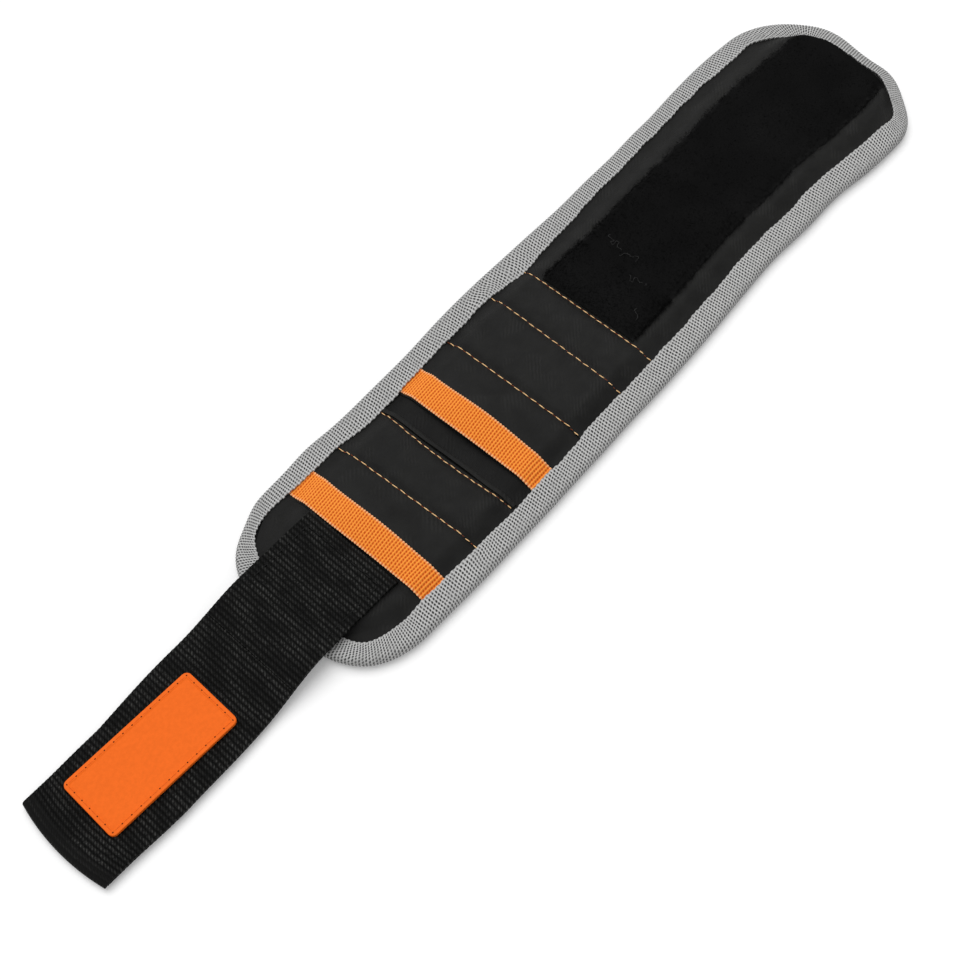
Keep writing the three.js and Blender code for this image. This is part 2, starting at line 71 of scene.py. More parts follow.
# %% Sizes from the frame
mm = 0.001


def low(node):
    """The lowest corner of a node's box."""
    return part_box(node)[0]


def high(node):
    """The highest corner of a node's box."""
    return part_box(node)[1]


loop_end = high("binding_loop_tip").x
body_end = low("binding_strap_end").x
half_width = high("binding_loop_tip").y
tape_top = high("binding_loop_tip").z
lining_top = high("lining_strap_end").z
pad_floor = low("foam_strap_end").z
pad_top = high("foam_strap_end").z
face_top = high("face_strap_end").z
loop_top = high("loop_panel_loop_mid").z
loop_half = high("loop_panel_loop_mid").y
seams = [(low(f"seam_thread_{i}").x + high(f"seam_thread_{i}").x) / 2 for i in range(1, 6)]
far_mouth, far_crest = low("elastic_hem_far").x, high("elastic_hem_far").x
near_mouth, near_crest = low("elastic_hem_near").x, high("elastic_hem_near").x
fold_edge = high("quilted_face_near").x
hinges = {joint["name"]: joint for joint in frame["joints"]}
print("seams at", [round(x / mm, 1) for x in seams], "mm along the band")

# %% [markdown]
# ## The camera
# The camera stands above the strap side and looks along the band, as in the photograph. Its place
# was worked out once from the band's outline and seams, and is written as angles round a target.

# %% Camera
camera_azimuth = math.radians(-43.76)
camera_elevation = math.radians(60.87)
camera_roll = math.radians(-5.91)
camera_distance = 640.55 * mm
camera_target = Vector((-31.79, -20.39, 0)) * mm
camera_lens = 60.8

back = Vector((
    math.sin(camera_azimuth) * math.cos(camera_elevation),
    -math.cos(camera_azimuth) * math.cos(camera_elevation),
    math.sin(camera_elevation),
))
level = Vector((math.cos(camera_azimuth), math.sin(camera_azimuth), 0))
upright = back.cross(level)
right = level * math.cos(camera_roll) + upright * math.sin(camera_roll)
up = upright * math.cos(camera_roll) - level * math.sin(camera_roll)
camera = bpy.data.objects.new("camera", bpy.data.cameras.new("camera"))
bpy.context.scene.collection.objects.link(camera)
camera.matrix_world = Matrix((right, up, back)).transposed().to_4x4()
camera.location = camera_target + back * camera_distance
camera.data.lens = camera_lens
camera.data.clip_start = 10 * mm
bpy.context.scene.camera = camera
print("camera at", [round(x, 3) for x in camera.location])

# %% [markdown]
# ## The outline
# The tape, the face and the lining all follow one rounded outline, each drawn in by its own
# inset. At the loop end the tape shows narrower, so there the outline is drawn in by a share only.
# One function walks round the edge, and a second one says how far any point lies inside it.

# %% The outline and its inside
loop_corner = 30 * mm
strap_corner = 32 * mm
edge_inset = 1.1 * mm
far_inset_share = 0.55
skew_run = 60 * mm

corner_start = half_width - loop_corner
corner_stop = corner_start + loop_corner * math.pi / 2
side_run = (loop_end - loop_corner) - (body_end + strap_corner)
strap_corner_start = corner_stop + side_run
strap_corner_stop = strap_corner_start + strap_corner * math.pi / 2
half_round = strap_corner_stop + half_width - strap_corner


def outline_point(s, inset):
    """The place at a distance s round the edge from the middle of the loop end."""
    s, inset = np.broadcast_arrays(np.mod(s, 2 * half_round), inset)
    mirrored = s > half_round
    s = np.where(mirrored, 2 * half_round - s, s)
    beyond = np.maximum(0, inset - edge_inset)
    far = loop_end - np.minimum(inset, edge_inset) - beyond * far_inset_share
    far_radius, near_radius = loop_corner - inset, strap_corner - inset
    far_x, near_x = far - far_radius, body_end + strap_corner
    turn = np.clip((s - corner_start) / loop_corner, 0, math.pi / 2)
    along = np.clip(s - corner_stop, 0, side_run)
    skew = (far_x - (loop_end - loop_corner)) * np.clip(1 - along / skew_run, 0, 1) ** 2
    turn_2 = np.clip((s - strap_corner_start) / strap_corner, 0, math.pi / 2)
    rest = np.clip(s - strap_corner_stop, 0, None)
    marks = [s < corner_start, s < corner_stop, s < strap_corner_start, s < strap_corner_stop]
    x = np.select(marks, [
        far,
        far_x + far_radius * np.cos(turn),
        loop_end - loop_corner - along + skew,
        near_x - near_radius * np.sin(turn_2),
    ], body_end + inset)
    y = np.select(marks, [
        s,
        half_width - loop_corner + far_radius * np.sin(turn),
        half_width - inset,
        half_width - strap_corner + near_radius * np.cos(turn_2),
    ], half_width - strap_corner - rest)
    return x, np.where(mirrored, -y, y)


def reach_at(x, inset):
    """Half the width of the outline at x, drawn in by inset."""
    beyond = max(0, inset - edge_inset)
    far_radius, near_radius = loop_corner - inset, strap_corner - inset
    far_x = loop_end - min(inset, edge_inset) - beyond * far_inset_share - far_radius
    past = np.clip(x - far_x, 0, far_radius)
    before = np.clip(body_end + strap_corner - x, 0, near_radius)
    far_reach = half_width - loop_corner + np.sqrt(far_radius ** 2 - past ** 2)
    near_reach = half_width - strap_corner + np.sqrt(near_radius ** 2 - before ** 2)
    return np.minimum(far_reach, near_reach)


def inset_at(x, y):
    """How far inside the outline a place lies, measured as the outlines are drawn in."""
    from_side = half_width - np.abs(y)
    ahead = loop_end - x
    behind = x - body_end
    far_end = edge_inset + (ahead - edge_inset) / far_inset_share
    inside = np.minimum(np.minimum(from_side, far_end), behind)
    drawn = 1 - far_inset_share
    a = loop_corner + drawn * edge_inset - ahead
    b = loop_corner - from_side
    p = drawn ** 2 - 1
    q = 2 * loop_corner - 2 * drawn * a
    r = a ** 2 + b ** 2 - loop_corner ** 2
    at_far_corner = (-q + np.sqrt(np.maximum(0, q ** 2 - 4 * p * r))) / (2 * p)
    in_far = (b > 0) & (a - drawn * at_far_corner > 0) & (at_far_corner < loop_corner)
    inside = np.where(in_far, np.minimum(inside, at_far_corner), inside)
    near = np.hypot(strap_corner - behind, strap_corner - from_side)
    in_near = (behind < strap_corner) & (from_side < strap_corner)
    return np.where(in_near, strap_corner - near, inside)


print("the edge is", round(2 * half_round / mm), "mm round")

# %% [markdown]
# ## Where the band bends
# The band wraps a wrist by bending at seven creases. Cloth that crosses a crease has to bend with
# it, and one piece can only bend between two bodies, so every long layer is made in seven
# stretches that meet in the straight runs between the creases, where nothing bends.

# %% Stretches and bends
crease_reach = {
    "band_bend_3": 12 * mm, "band_bend_2": 12 * mm, "band_wrap": 12 * mm, "band_bend_4": 9.5 * mm,
    "band_bend_5": 9 * mm, "band_bend_6": 9 * mm, "band_bend_7": 7 * mm,
}
creases = [hinges[name]["pos_m"][0] for name in crease_reach]
cuts = [loop_end, *[(a + b) / 2 for a, b in zip(creases, creases[1:])], body_end]
stretches = [
    {"number": i + 1, "joint": joint, "high": cuts[i], "low": cuts[i + 1]}
    for i, joint in enumerate(crease_reach)
]


def bend(piece, joint):
    """Bakes a finished piece's place into its mesh."""
    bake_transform(piece)


def crease_of(x):
    """The crease whose stretch holds a place along the band."""
    return next(s["joint"] for s in stretches if x >= s["low"])


for stretch in stretches:
    print("stretch", stretch["number"], "bends at", stretch["joint"])

# %% [markdown]
# ## How the band lies
# A sewn band never lies quite straight. This one sways towards its far side over the loop panel,
# where it is also drawn in at the waist, and one far corner is tucked. All layers share the same
# sway, so they stay together, and a soft ripple that is the same on each run keeps edges alive.

# %% Sway, waist and ripple
def ripple(x, y, wave, turn=0.0):
    """A soft unevenness from -1 to 1, the same on each run, for places in metres."""
    total = 0
    for k in range(4):
        angle = turn + 2.4 * k
        size = 2 * math.pi / (wave * (1 + 0.37 * k))
        total = total + np.sin(size * (x * math.cos(angle) + y * math.sin(angle)) + 1.7 * k * k + turn)
    return total / 4


def ease(t):
    """A soft step from 0 to 1."""
    t = np.clip(t, 0, 1)
    return t * t * (3 - 2 * t)


def swell_near(x, middle, width):
    """A soft hump of height 1 round a middle."""
    return np.exp(-((x - middle) / width) ** 2)


# Each hump is a place along the band, a width and an amount, all in millimetres. The sways move the
# whole band to the left, the waists draw both edges in, and the swells move one edge to the left.
sways = [(145, 48, 2.6), (32, 30, 1.0)]
waists = [(112, 30, 1.9), (196, 24, -1.0)]
left_swells = [
    (-106, 10, -2.1), (-66, 11, 1.1), (20, 28, 1.2), (66, 22, 1.0),
    (104, 18, 1.3), (150, 11, -0.8), (190, 20, 1.0),
]
right_swells = [(-118, 8, -0.9), (-96, 18, 1.1), (78, 22, 0.9), (125, 22, 0.5), (168, 16, 1.4)]
uneven_edge, uneven_wave, uneven_line = 0.22 * mm, 34 * mm, 40 * mm
end_swell, end_swell_width, end_swell_at, end_swell_run = 3.6 * mm, 14 * mm, 11 * mm, 32 * mm
tucked_x, tucked_y, tucked_width = 232 * mm, -37 * mm, 14 * mm
tucked_back, tucked_in = 2.2 * mm, 1.7 * mm


def swells(x, table):
    """The sum of the humps of a table at x."""
    return sum(amount * mm * swell_near(x, place * mm, width * mm) for place, width, amount in table)


# For each seam, in millimetres: how far along the band from its mark the middle was sewn, how
# much farther the left edge was, and how far both edges bow from that line.
seam_drifts = [(0.15, 1.0, 0.0), (1.2, 1.7, 0.0), (0.65, 0.45, 0.0), (-1.7, 0.0, 2.8), (0.7, -1.0, 0.0)]
drift_reach = 8 * mm
drift_edge, drift_fade = 36 * mm, 6 * mm


def drift(x, y):
    """How far along the band the sewing pulled a place near a seam."""
    share = y / half_width
    pulled = sum(
        (middle + tilt * share + bow * share ** 2) * mm * swell_near(x, seam, drift_reach)
        for seam, (middle, tilt, bow) in zip(seams, seam_drifts)
    )
    return pulled * (1 - ease((np.abs(y) - drift_edge) / drift_fade))


def settle(x, y, z):
    """Where a point of the straight band really lies."""
    uneven = uneven_edge * ripple(x, np.sign(y) * uneven_line, uneven_wave)
    corner = swell_near(np.hypot(x - tucked_x, y - tucked_y), 0, tucked_width)
    share = y / half_width
    edges = (swells(x, left_swells) * (1 + share) + swells(x, right_swells) * (1 - share)) / 2
    bulge = swell_near(y, end_swell_at, end_swell_width) * ease((x - loop_end) / end_swell_run + 1)
    moved_x = x + drift(x, y) - tucked_back * corner + end_swell * bulge
    moved_y = y + swells(x, sways) + share * (uneven - swells(x, waists)) + edges + tucked_in * corner
    return moved_x, moved_y, z


def as_placed(x, y, z):
    """For pieces that don't share the band's sway."""
    return x, y, z


print("the band sways by", round(settle(145 * mm, 0, 0)[1] / mm, 1), "mm")

# %% [markdown]
# ## Cloth from a grid
# Woven cloth starts flat, so each layer starts as a flat bmesh grid. A place function then lays
# every grid point on the band, and the flat measures are kept as a UV map called cut, so that
# weaves and ribs follow the cloth wherever it goes.

# %% Helper: a cloth layer
coarse = 1


def keep(mesh, name, material):
    """Puts a finished mesh in the scene, with its material."""
    piece = bpy.data.objects.new(name, mesh)
    bpy.context.scene.collection.objects.link(piece)
    mesh.materials.append(material)
    return piece


def stations(start, stop, step):
    """Evenly spaced places from start to stop, about a step apart."""
    count = max(3, int(math.ceil(abs(stop - start) / (step * coarse))))
    return np.linspace(start, stop, count + 1)


def cloth(name, us, vs, place, material, lay=settle):
    """A grid whose points place(u, v) lays on the band, smooth shaded, with its cut as a UV map."""
    build = bmesh.new()
    bmesh.ops.create_grid(build, x_segments=len(us) - 1, y_segments=len(vs) - 1, size=0.5)
    for edge in build.edges:
        edge.smooth = not edge.is_boundary
    mesh = bpy.data.meshes.new(name)
    build.to_mesh(mesh)
    build.free()
    flat = np.empty(len(mesh.vertices) * 3)
    mesh.vertices.foreach_get("co", flat)
    flat = flat.reshape(-1, 3)
    i = np.rint((flat[:, 0] + 0.5) * (len(us) - 1)).astype(int)
    j = np.rint((flat[:, 1] + 0.5) * (len(vs) - 1)).astype(int)
    u, v = np.asarray(us)[i], np.asarray(vs)[j]
    x, y, z = lay(*place(u, v))
    mesh.vertices.foreach_set("co", np.stack([x, y, z], axis=1).ravel())
    corner = np.empty(len(mesh.loops), int)
    mesh.loops.foreach_get("vertex_index", corner)
    cut = np.stack([u[corner], v[corner]], axis=1)
    mesh.uv_layers.new(name="cut").data.foreach_set("uv", cut.ravel())
    mesh.shade_smooth()
    mesh.update()
    return keep(mesh, name, material)


def thicken(piece, thickness, offset=-1):
    """Gives a sheet its thickness, below its upper side unless the offset says otherwise."""
    shell = piece.modifiers.new("thickness", "SOLIDIFY")
    shell.thickness = thickness
    shell.offset = offset
    shell.use_even_offset = False


# %% [markdown]
# ## Finishes
# Every finish is a small node tree over one shader. A few helpers keep the trees short: one makes
# a node and wires its inputs, one does a sum, one gives the cloth's own flat measures in
# millimetres, and others make waves, noise and mixes. Soft steps and waves are plain arithmetic, so
# a pattern follows the cut of its cloth. What is the same all over is set on the shader's socket.

# %% Helper: node trees
def wire(tree, kind, inputs, output=0, **settings):
    """Adds a node, links or sets each of its inputs, and returns one output."""
    node = tree.nodes.new(kind)
    for key, value in settings.items():
        setattr(node, key, value)
    for key, value in inputs.items():
        if isinstance(value, bpy.types.NodeSocket):
            tree.links.new(value, node.inputs[key])
        else:
            node.inputs[key].default_value = value
    return node.outputs[output]


def calc(tree, operation, a, b=0.0, c=0.0):
    """One sum, as Blender's math node does it."""
    return wire(tree, "ShaderNodeMath", {0: a, 1: b, 2: c}, operation=operation)


def cut_measures(tree):
    """Along and across the flat cloth, in millimetres."""
    cut = wire(tree, "ShaderNodeUVMap", {}, uv_map="cut")
    scaled = wire(tree, "ShaderNodeVectorMath", {0: cut, 1: (1 / mm,) * 3}, operation="MULTIPLY")
    apart = tree.nodes.new("ShaderNodeSeparateXYZ")
    tree.links.new(scaled, apart.inputs[0])
    return scaled, apart.outputs["X"], apart.outputs["Y"]


def wave(tree, along, pitch, shift=0.0):
    """A ridge from 0 to 1 each pitch along a measure."""
    turns = calc(tree, "MULTIPLY_ADD", along, 2 * math.pi / pitch, shift)
    return calc(tree, "MULTIPLY_ADD", calc(tree, "COSINE", turns), 0.5, 0.5)


def noise(tree, vector, scale, detail=2.0, roughness=0.5):
    """A noise around 0.5, whose scale says how many lumps go to one unit of the vector."""
    inputs = {"Vector": vector, "Scale": scale, "Detail": detail, "Roughness": roughness}
    return wire(tree, "ShaderNodeTexNoise", inputs)


def between(tree, value, start, stop, kind="SMOOTHSTEP"):
    """A step from 0 at start to 1 at stop, soft unless its kind says otherwise."""
    return wire(tree, "ShaderNodeMapRange", {0: value, 1: start, 2: stop}, interpolation_type=kind)


def blend_colour(tree, share, dark, light):
    """A mix of two colours; the first may also be the colour that another node gives."""
    first = dark if isinstance(dark, bpy.types.NodeSocket) else (*dark, 1)
    return wire(tree, "ShaderNodeMix", {0: share, 6: first, 7: (*light, 1)}, 2, data_type="RGBA")


def grey(level):
    """A neutral colour."""
    return (level,) * 3


def finish(name, roughness, shine=0.15, **constants):
    """A new material, its tree and its shader, with what is constant set on the shader."""
    material = bpy.data.materials.new(name)
    material.use_nodes = True
    tree = material.node_tree
    shader = tree.nodes["Principled BSDF"]
    shader.inputs["Roughness"].default_value = roughness
    shader.inputs["Specular IOR Level"].default_value = shine
    for key, value in constants.items():
        shader.inputs[key.replace("_", " ").title()].default_value = value
    return material, tree, shader


def dress(tree, shader, colour, height, depth, strength=1.0):
    """Wires a colour and a bump of a depth in metres to the shader."""
    tree.links.new(colour, shader.inputs["Base Color"])
    bump = wire(tree, "ShaderNodeBump", {"Height": height, "Distance": depth, "Strength": strength})
    tree.links.new(bump, shader.inputs["Normal"])


# %% [markdown]
# ## The black cloths
# The face is a smooth coated cloth with a very fine plain weave and a low sheen. The weave is two
# crossed ridges, and slow noise moves the colour and the gloss a little, as handling does. Where it
# was handled most, fine wrinkles slant across it, in its bump and in its colour, where their crests
# are painted lighter and their troughs darker as painted light and shade. Inside the far pocket's
# mouth the same cloth is painted a deeper black, as painted shade.

# %% Finish: face cloth
weave_pitch = 0.45
wrinkle_pitch = 2.1
wrinkle_slant = -0.96
wrinkle_share = 0.5


def face_finish(name, dark, light):
    """A fine weave with clouds, blotches and patches of slanting wrinkles, painted lighter on their crests
    as painted light and shade.
    """
    material, tree, shader = finish(name, 0.5, 0.08, sheen_weight=0.01, sheen_roughness=0.4)
    flat, u, v = cut_measures(tree)
    threads = calc(tree, "MULTIPLY", wave(tree, u, weave_pitch), wave(tree, v, weave_pitch, math.pi))
    slow = noise(tree, flat, 0.05, 3.0)
    cloud = between(tree, slow, 0.3, 0.7, "LINEAR")
    blotches = between(tree, noise(tree, flat, 0.12, 3.0), 0.3, 0.7, "LINEAR")
    swing = calc(tree, "MULTIPLY", noise(tree, flat, 0.4, 2.0), 1.6)
    slanting = calc(tree, "MULTIPLY_ADD", v, wrinkle_slant, swing)
    handled = between(tree, noise(tree, flat, 0.08, 2.0), 0.50, 0.66)
    wrinkles = calc(tree, "MULTIPLY", handled, wave(tree, calc(tree, "ADD", u, slanting), wrinkle_pitch))
    tone = calc(tree, "MULTIPLY_ADD", blotches, 0.35, calc(tree, "MULTIPLY", cloud, 0.45))
    share = calc(tree, "MULTIPLY_ADD", threads, 0.2, tone)
    # The wrinkles also lighten the colour on their crests and darken it between them: painted light and
    # shade.
    share = calc(tree, "MULTIPLY_ADD", wrinkles, wrinkle_share, share)
    colour = blend_colour(tree, share, dark, light)
    creases = calc(tree, "MULTIPLY_ADD", wrinkles, wrinkle_share, noise(tree, flat, 0.35, 4.0, 0.6))
    hand = calc(tree, "MULTIPLY_ADD", noise(tree, flat, 0.07, 3.0, 0.55), 3.0, creases)
    height = calc(tree, "MULTIPLY_ADD", threads, 0.25, hand)
    dress(tree, shader, colour, height, 0.3 * mm, 0.8)
    gloss = calc(tree, "MULTIPLY_ADD", cloud, 0.25, 0.4)
    tree.links.new(gloss, shader.inputs["Roughness"])
    return material


face_cloth = face_finish("face_cloth", (0.0054, 0.0054, 0.0052), (0.0166, 0.0166, 0.0160))
# A darker copy of the face cloth for the pocket floor: painted shade under the far ribbon.
shaded_cloth = face_finish("shaded_cloth", (0.0034, 0.0034, 0.0033), (0.0096, 0.0096, 0.0093))
print("made", face_cloth.name, "and", shaded_cloth.name)

# %% [markdown]
# The loop panel is brushed until its loops stand up in a dull fur that swallows light, so it is
# the darkest black on the band. Along its cut edges the fur thins out and the cloth shows through.
# The pad under the face is wrapped in a plain black cloth.

# %% Finishes: loop pile and pad cloth
# The panel's cut runs from -1 to 1 across it, so this is what measures its edge in the tree.
panel_edge = 1 / mm
pad_weave = 0.8


def object_place(tree):
    """A point's own place, for finishes that don't follow the cut of a cloth."""
    return tree.nodes.new("ShaderNodeTexCoord").outputs["Object"]


def pile_finish():
    """Dull fur in tufts, thinner along the panel's cut edges."""
    material, tree, shader = finish("loop_pile", 1.0, 0.0)
    place = object_place(tree)
    tufts = noise(tree, place, 1.4 / mm, 3.0, 0.65)
    patches = noise(tree, place, 0.05 / mm, 2.0)
    across = calc(tree, "ABSOLUTE", cut_measures(tree)[2])
    worn = calc(tree, "MULTIPLY_ADD", noise(tree, place, 0.35 / mm, 3.0), 0.09 * panel_edge, across)
    thin = between(tree, worn, 0.955 * panel_edge, 1.055 * panel_edge)
    share = calc(tree, "MULTIPLY_ADD", tufts, patches, calc(tree, "MULTIPLY", thin, 0.55))
    colour = blend_colour(tree, share, grey(0.0042), grey(0.0160))
    dress(tree, shader, colour, tufts, 0.5 * mm, 0.9)
    return material


def pad_finish():
    """A plain weave."""
    material, tree, shader = finish("pad_cloth", 0.8, 0.1)
    _, u, v = cut_measures(tree)
    threads = calc(tree, "MULTIPLY", wave(tree, u, pad_weave), wave(tree, v, pad_weave, math.pi))
    colour = blend_colour(tree, threads, (0.009, 0.009, 0.0095), (0.016, 0.016, 0.0165))
    dress(tree, shader, colour, threads, 0.1 * mm, 0.6)
    return material


loop_pile = pile_finish()
pad_cloth = pad_finish()
print("made", loop_pile.name, "and", pad_cloth.name)

# %% [markdown]
# The lining that lies on the wrist is air mesh: a knitted net whose round holes let sweat out.
# Two crossed pairs of waves, the second half a step on, give holes in a staggered field, and their
# depth goes into the bump.

# %% Finish: air-mesh lining
hole_along, hole_across = 3.2, 2.4


def lining_finish():
    """A net of staggered round holes."""
    material, tree, shader = finish("air_mesh", 0.75, 0.15, sheen_weight=0.02)
    flat, u, v = cut_measures(tree)
    stagger, offset = (
        calc(tree, "MULTIPLY", wave(tree, u, hole_along, turn), wave(tree, v, hole_across, turn))
        for turn in (0.0, math.pi)
    )
    net = calc(tree, "SUBTRACT", 1.0, between(tree, calc(tree, "ADD", stagger, offset), 0.35, 0.75))
    fibre = noise(tree, flat, 2.0, 2.0)
    colour = blend_colour(tree, calc(tree, "MULTIPLY", fibre, net), grey(0.004), (0.034, 0.034, 0.036))
    height = calc(tree, "MULTIPLY_ADD", fibre, 0.2, net)
    dress(tree, shader, colour, height, 0.5 * mm, 0.9)
    return material


air_mesh = lining_finish()
print("made", air_mesh.name)

# %% [markdown]
# ## The grey tape, the orange elastic and the webbing
# All three are narrow weaves with ribs across them. The ribs of the tape and the webbing are real
# relief in the mesh, and the finish puts light threads on the ribs and dark gaps between them; on
# the black webbing the light on the threads is painted highlight. A second, finer wave breaks each
# rib into single threads that step from one rib to the next.

# %% Helpers: a ribbed weave and its slits
def woven_relief(tree, flat, along, across, rib, step, wander, lean=1):
    """Ribs, and cross threads that step by half a turn (or an odd number) from rib to rib."""
    swing = calc(tree, "MULTIPLY_ADD", noise(tree, flat, 0.21, 2.0), wander, -wander / 2)
    drift = calc(tree, "MULTIPLY_ADD", noise(tree, flat, 0.33, 2.0), 2 * wander, -wander)
    ribs = wave(tree, calc(tree, "ADD", along, swing), rib)
    half_turns = calc(tree, "MULTIPLY", along, lean * math.pi / rib)
    steps = calc(tree, "MULTIPLY_ADD", calc(tree, "ADD", across, drift), 2 * math.pi / step, half_turns)
    threads = calc(tree, "MULTIPLY_ADD", calc(tree, "COSINE", steps), 0.5, 0.5)
    return ribs, threads


def lit_weave(tree, ribs, threads, bridge, start, stop):
    """1 on the threads and 0 in the slits between ribs, which the cross threads bridge."""
    crossed = calc(tree, "MULTIPLY_ADD", threads, -bridge, 1.0)
    slit = calc(tree, "MULTIPLY", calc(tree, "SUBTRACT", 1.0, ribs), crossed)
    return calc(tree, "SUBTRACT", 1.0, between(tree, slit, start, stop))


# %% Finish: grey binding tape
tape_rib_count = 631
tape_rib = 2 * half_round / tape_rib_count
thread_step = 1.33
tape_width = 22.3
tape_mean = 0.5


def tape_finish():
    """Grey ribs with dark slits, softer in patches and towards the fold, and a light selvedge."""
    material, tree, shader = finish("binding_tape", 0.75, 0.1)
    flat, u, v = cut_measures(tree)
    ribs, threads = woven_relief(tree, flat, u, v, tape_rib / mm, thread_step, 0.6, -1)
    weave = lit_weave(tree, ribs, threads, 0.78, 0.03, 0.62)
    patches = calc(tree, "MULTIPLY", between(tree, noise(tree, flat, 0.16, 2.0), 0.45, 0.75), 0.28)
    outer = calc(tree, "MULTIPLY", between(tree, v, tape_width - 4.0, tape_width - 11.0), 0.22)
    contrast = calc(tree, "SUBTRACT", 1.0, calc(tree, "ADD", patches, outer))
    softened = calc(tree, "MULTIPLY_ADD", calc(tree, "SUBTRACT", weave, tape_mean), contrast, tape_mean)
    fuzz = calc(tree, "MULTIPLY_ADD", noise(tree, flat, 1.1, 3.0), 0.42, -0.21)
    rim = calc(tree, "MULTIPLY", between(tree, v, tape_width - 1.0, tape_width - 0.4),
               calc(tree, "MULTIPLY_ADD", ribs, 0.6, 0.4))
    share = calc(tree, "ADD", calc(tree, "MAXIMUM", softened, rim), fuzz)
    colour = blend_colour(tree, share, grey(0.022), (0.555, 0.555, 0.55))
    height = calc(tree, "MULTIPLY_ADD", threads, 0.5, ribs)
    dress(tree, shader, colour, height, 0.25 * mm, 0.8)
    return material


binding_tape = tape_finish()
print("tape ribs", round(tape_rib / mm, 2), "mm apart")

# %% Finish: orange elastic
ribbon_rib = 1.32
ribbon_thread = 1.25


def ribbon_finish(width):
    """Orange ribs across the ribbon, and paler loops along its two selvedges."""
    material, tree, shader = finish("elastic_ribbon", 0.65, 0.08)
    flat, u, v = cut_measures(tree)
    ribs, threads = woven_relief(tree, flat, v, u, ribbon_rib, ribbon_thread, 0.4, -1)
    weave = lit_weave(tree, ribs, threads, 0.6, 0.05, 0.85)
    fuzz = calc(tree, "MULTIPLY_ADD", noise(tree, flat, 0.9, 3.0), 0.6, -0.3)
    body = blend_colour(tree, calc(tree, "ADD", weave, fuzz), (0.58, 0.072, 0.004), (1.0, 0.335, 0.048))
    middle = calc(tree, "ABSOLUTE", calc(tree, "SUBTRACT", u, width / mm / 2))
    selvedge = between(tree, middle, width / mm / 2 - 1.0, width / mm / 2 - 0.3)
    loops = calc(tree, "MULTIPLY", selvedge, calc(tree, "MULTIPLY_ADD", ribs, 0.8, 0.1))
    height = calc(tree, "MULTIPLY_ADD", threads, 0.35, ribs)
    colour = blend_colour(tree, loops, body, (0.90, 0.52, 0.28))
    dress(tree, shader, colour, height, 0.25 * mm, 0.8)
    return material


elastic_ribbon = ribbon_finish(far_crest - far_mouth)
print("made", elastic_ribbon.name)

# %% Finish: black webbing
webbing_rib = 2.03
webbing_thread = 1.5
webbing_lean = 3
pressed_from, pressed_run = 144.6, 1.5


def webbing_finish():
    """Black ribs whose threads carry painted highlights, stronger and weaker in bands across the strap,
    pressed flat at its tip.
    """
    material, tree, shader = finish("webbing", 0.6, 0.05)
    flat, u, v = cut_measures(tree)
    ribs, threads = woven_relief(tree, flat, u, v, webbing_rib, webbing_thread, 0.5, webbing_lean)
    fuzz = between(tree, noise(tree, flat, 1.0, 4.0, 0.75), 0.36, 0.64)
    stretched = wire(tree, "ShaderNodeVectorMath", {0: flat, 1: (1.0, 0.4, 1.0)}, operation="MULTIPLY")
    bands = between(tree, noise(tree, stretched, 0.15, 2.0), 0.38, 0.62)
    patches = calc(tree, "MULTIPLY_ADD", bands, 0.7, 0.3)
    bumps = calc(tree, "MULTIPLY_ADD", calc(tree, "POWER", threads, 1.8), 0.8, 0.2)
    # The lit share is painted highlight on the raised threads of the black webbing.
    lit = calc(tree, "MULTIPLY", calc(tree, "POWER", ribs, 1.5), bumps)
    pressed = between(tree, u, pressed_from, pressed_from + pressed_run)
    calm = calc(tree, "MULTIPLY", patches, calc(tree, "MULTIPLY_ADD", pressed, -0.7, 1.0))
    share = calc(tree, "MULTIPLY", lit, calc(tree, "MULTIPLY", fuzz, calm))
    share = calc(tree, "MULTIPLY_ADD", pressed, 0.04, share)
    colour = blend_colour(tree, share, (0.0022, 0.0022, 0.0021), (0.066, 0.066, 0.063))
    height = calc(tree, "MULTIPLY_ADD", threads, 0.45, ribs)
    dress(tree, shader, colour, height, 0.3 * mm, 0.9)
    return material


webbing_cloth = webbing_finish()
print("made", webbing_cloth.name)

# %% [markdown]
# ## Threads, rubber, hooks and magnets
# These are small or smooth pieces, so their finishes read Object coordinates. One noise gives each
# its uneven colour and its grain: fibres on thread and lint, a faint moulded grain on rubber and
# plastic, and the plating of the magnets. Where a stitch dips into the cloth it would fall in shade,
# so the dips have a thread of their own, a darker copy painted as shade.

# %% Finishes: threads, rubber, hooks and magnets
def small_finish(name, dark, light, roughness, scale, depth, shine=0.2, **constants):
    """A finish whose colour and relief both come from one noise of a given scale."""
    material, tree, shader = finish(name, roughness, shine, **constants)
    grain = noise(tree, object_place(tree), scale / mm, 4.0, 0.6)
    spread = between(tree, grain, 0.35, 0.65, "LINEAR")
    dress(tree, shader, blend_colour(tree, spread, dark, light), grain, depth * mm, 0.6)
    return material


# Each finish: dark and light colour, roughness, grain per millimetre, its depth and the shine.
tan_thread = small_finish("tan_thread", (0.74, 0.43, 0.19), (1.0, 0.67, 0.34), 0.55, 1.6, 0.1)
# The dips' thread is a darker copy of the tan thread: painted shade.
dipping_thread = small_finish("dipping_thread", (0.09, 0.016, 0.003), (0.26, 0.055, 0.010), 0.6, 1.6, 0.1)
black_thread = small_finish("black_thread", grey(0.003), grey(0.010), 0.6, 2.2, 0.1, 0.1)
lint_fibre = small_finish("lint_fibre", grey(0.014), grey(0.042), 0.8, 1.5, 0.03, 0.05)
label_thread = small_finish(
    "label_thread", (0.58, 0.085, 0.008), (0.80, 0.125, 0.012), 0.6, 2.2, 0.1, 0.08)
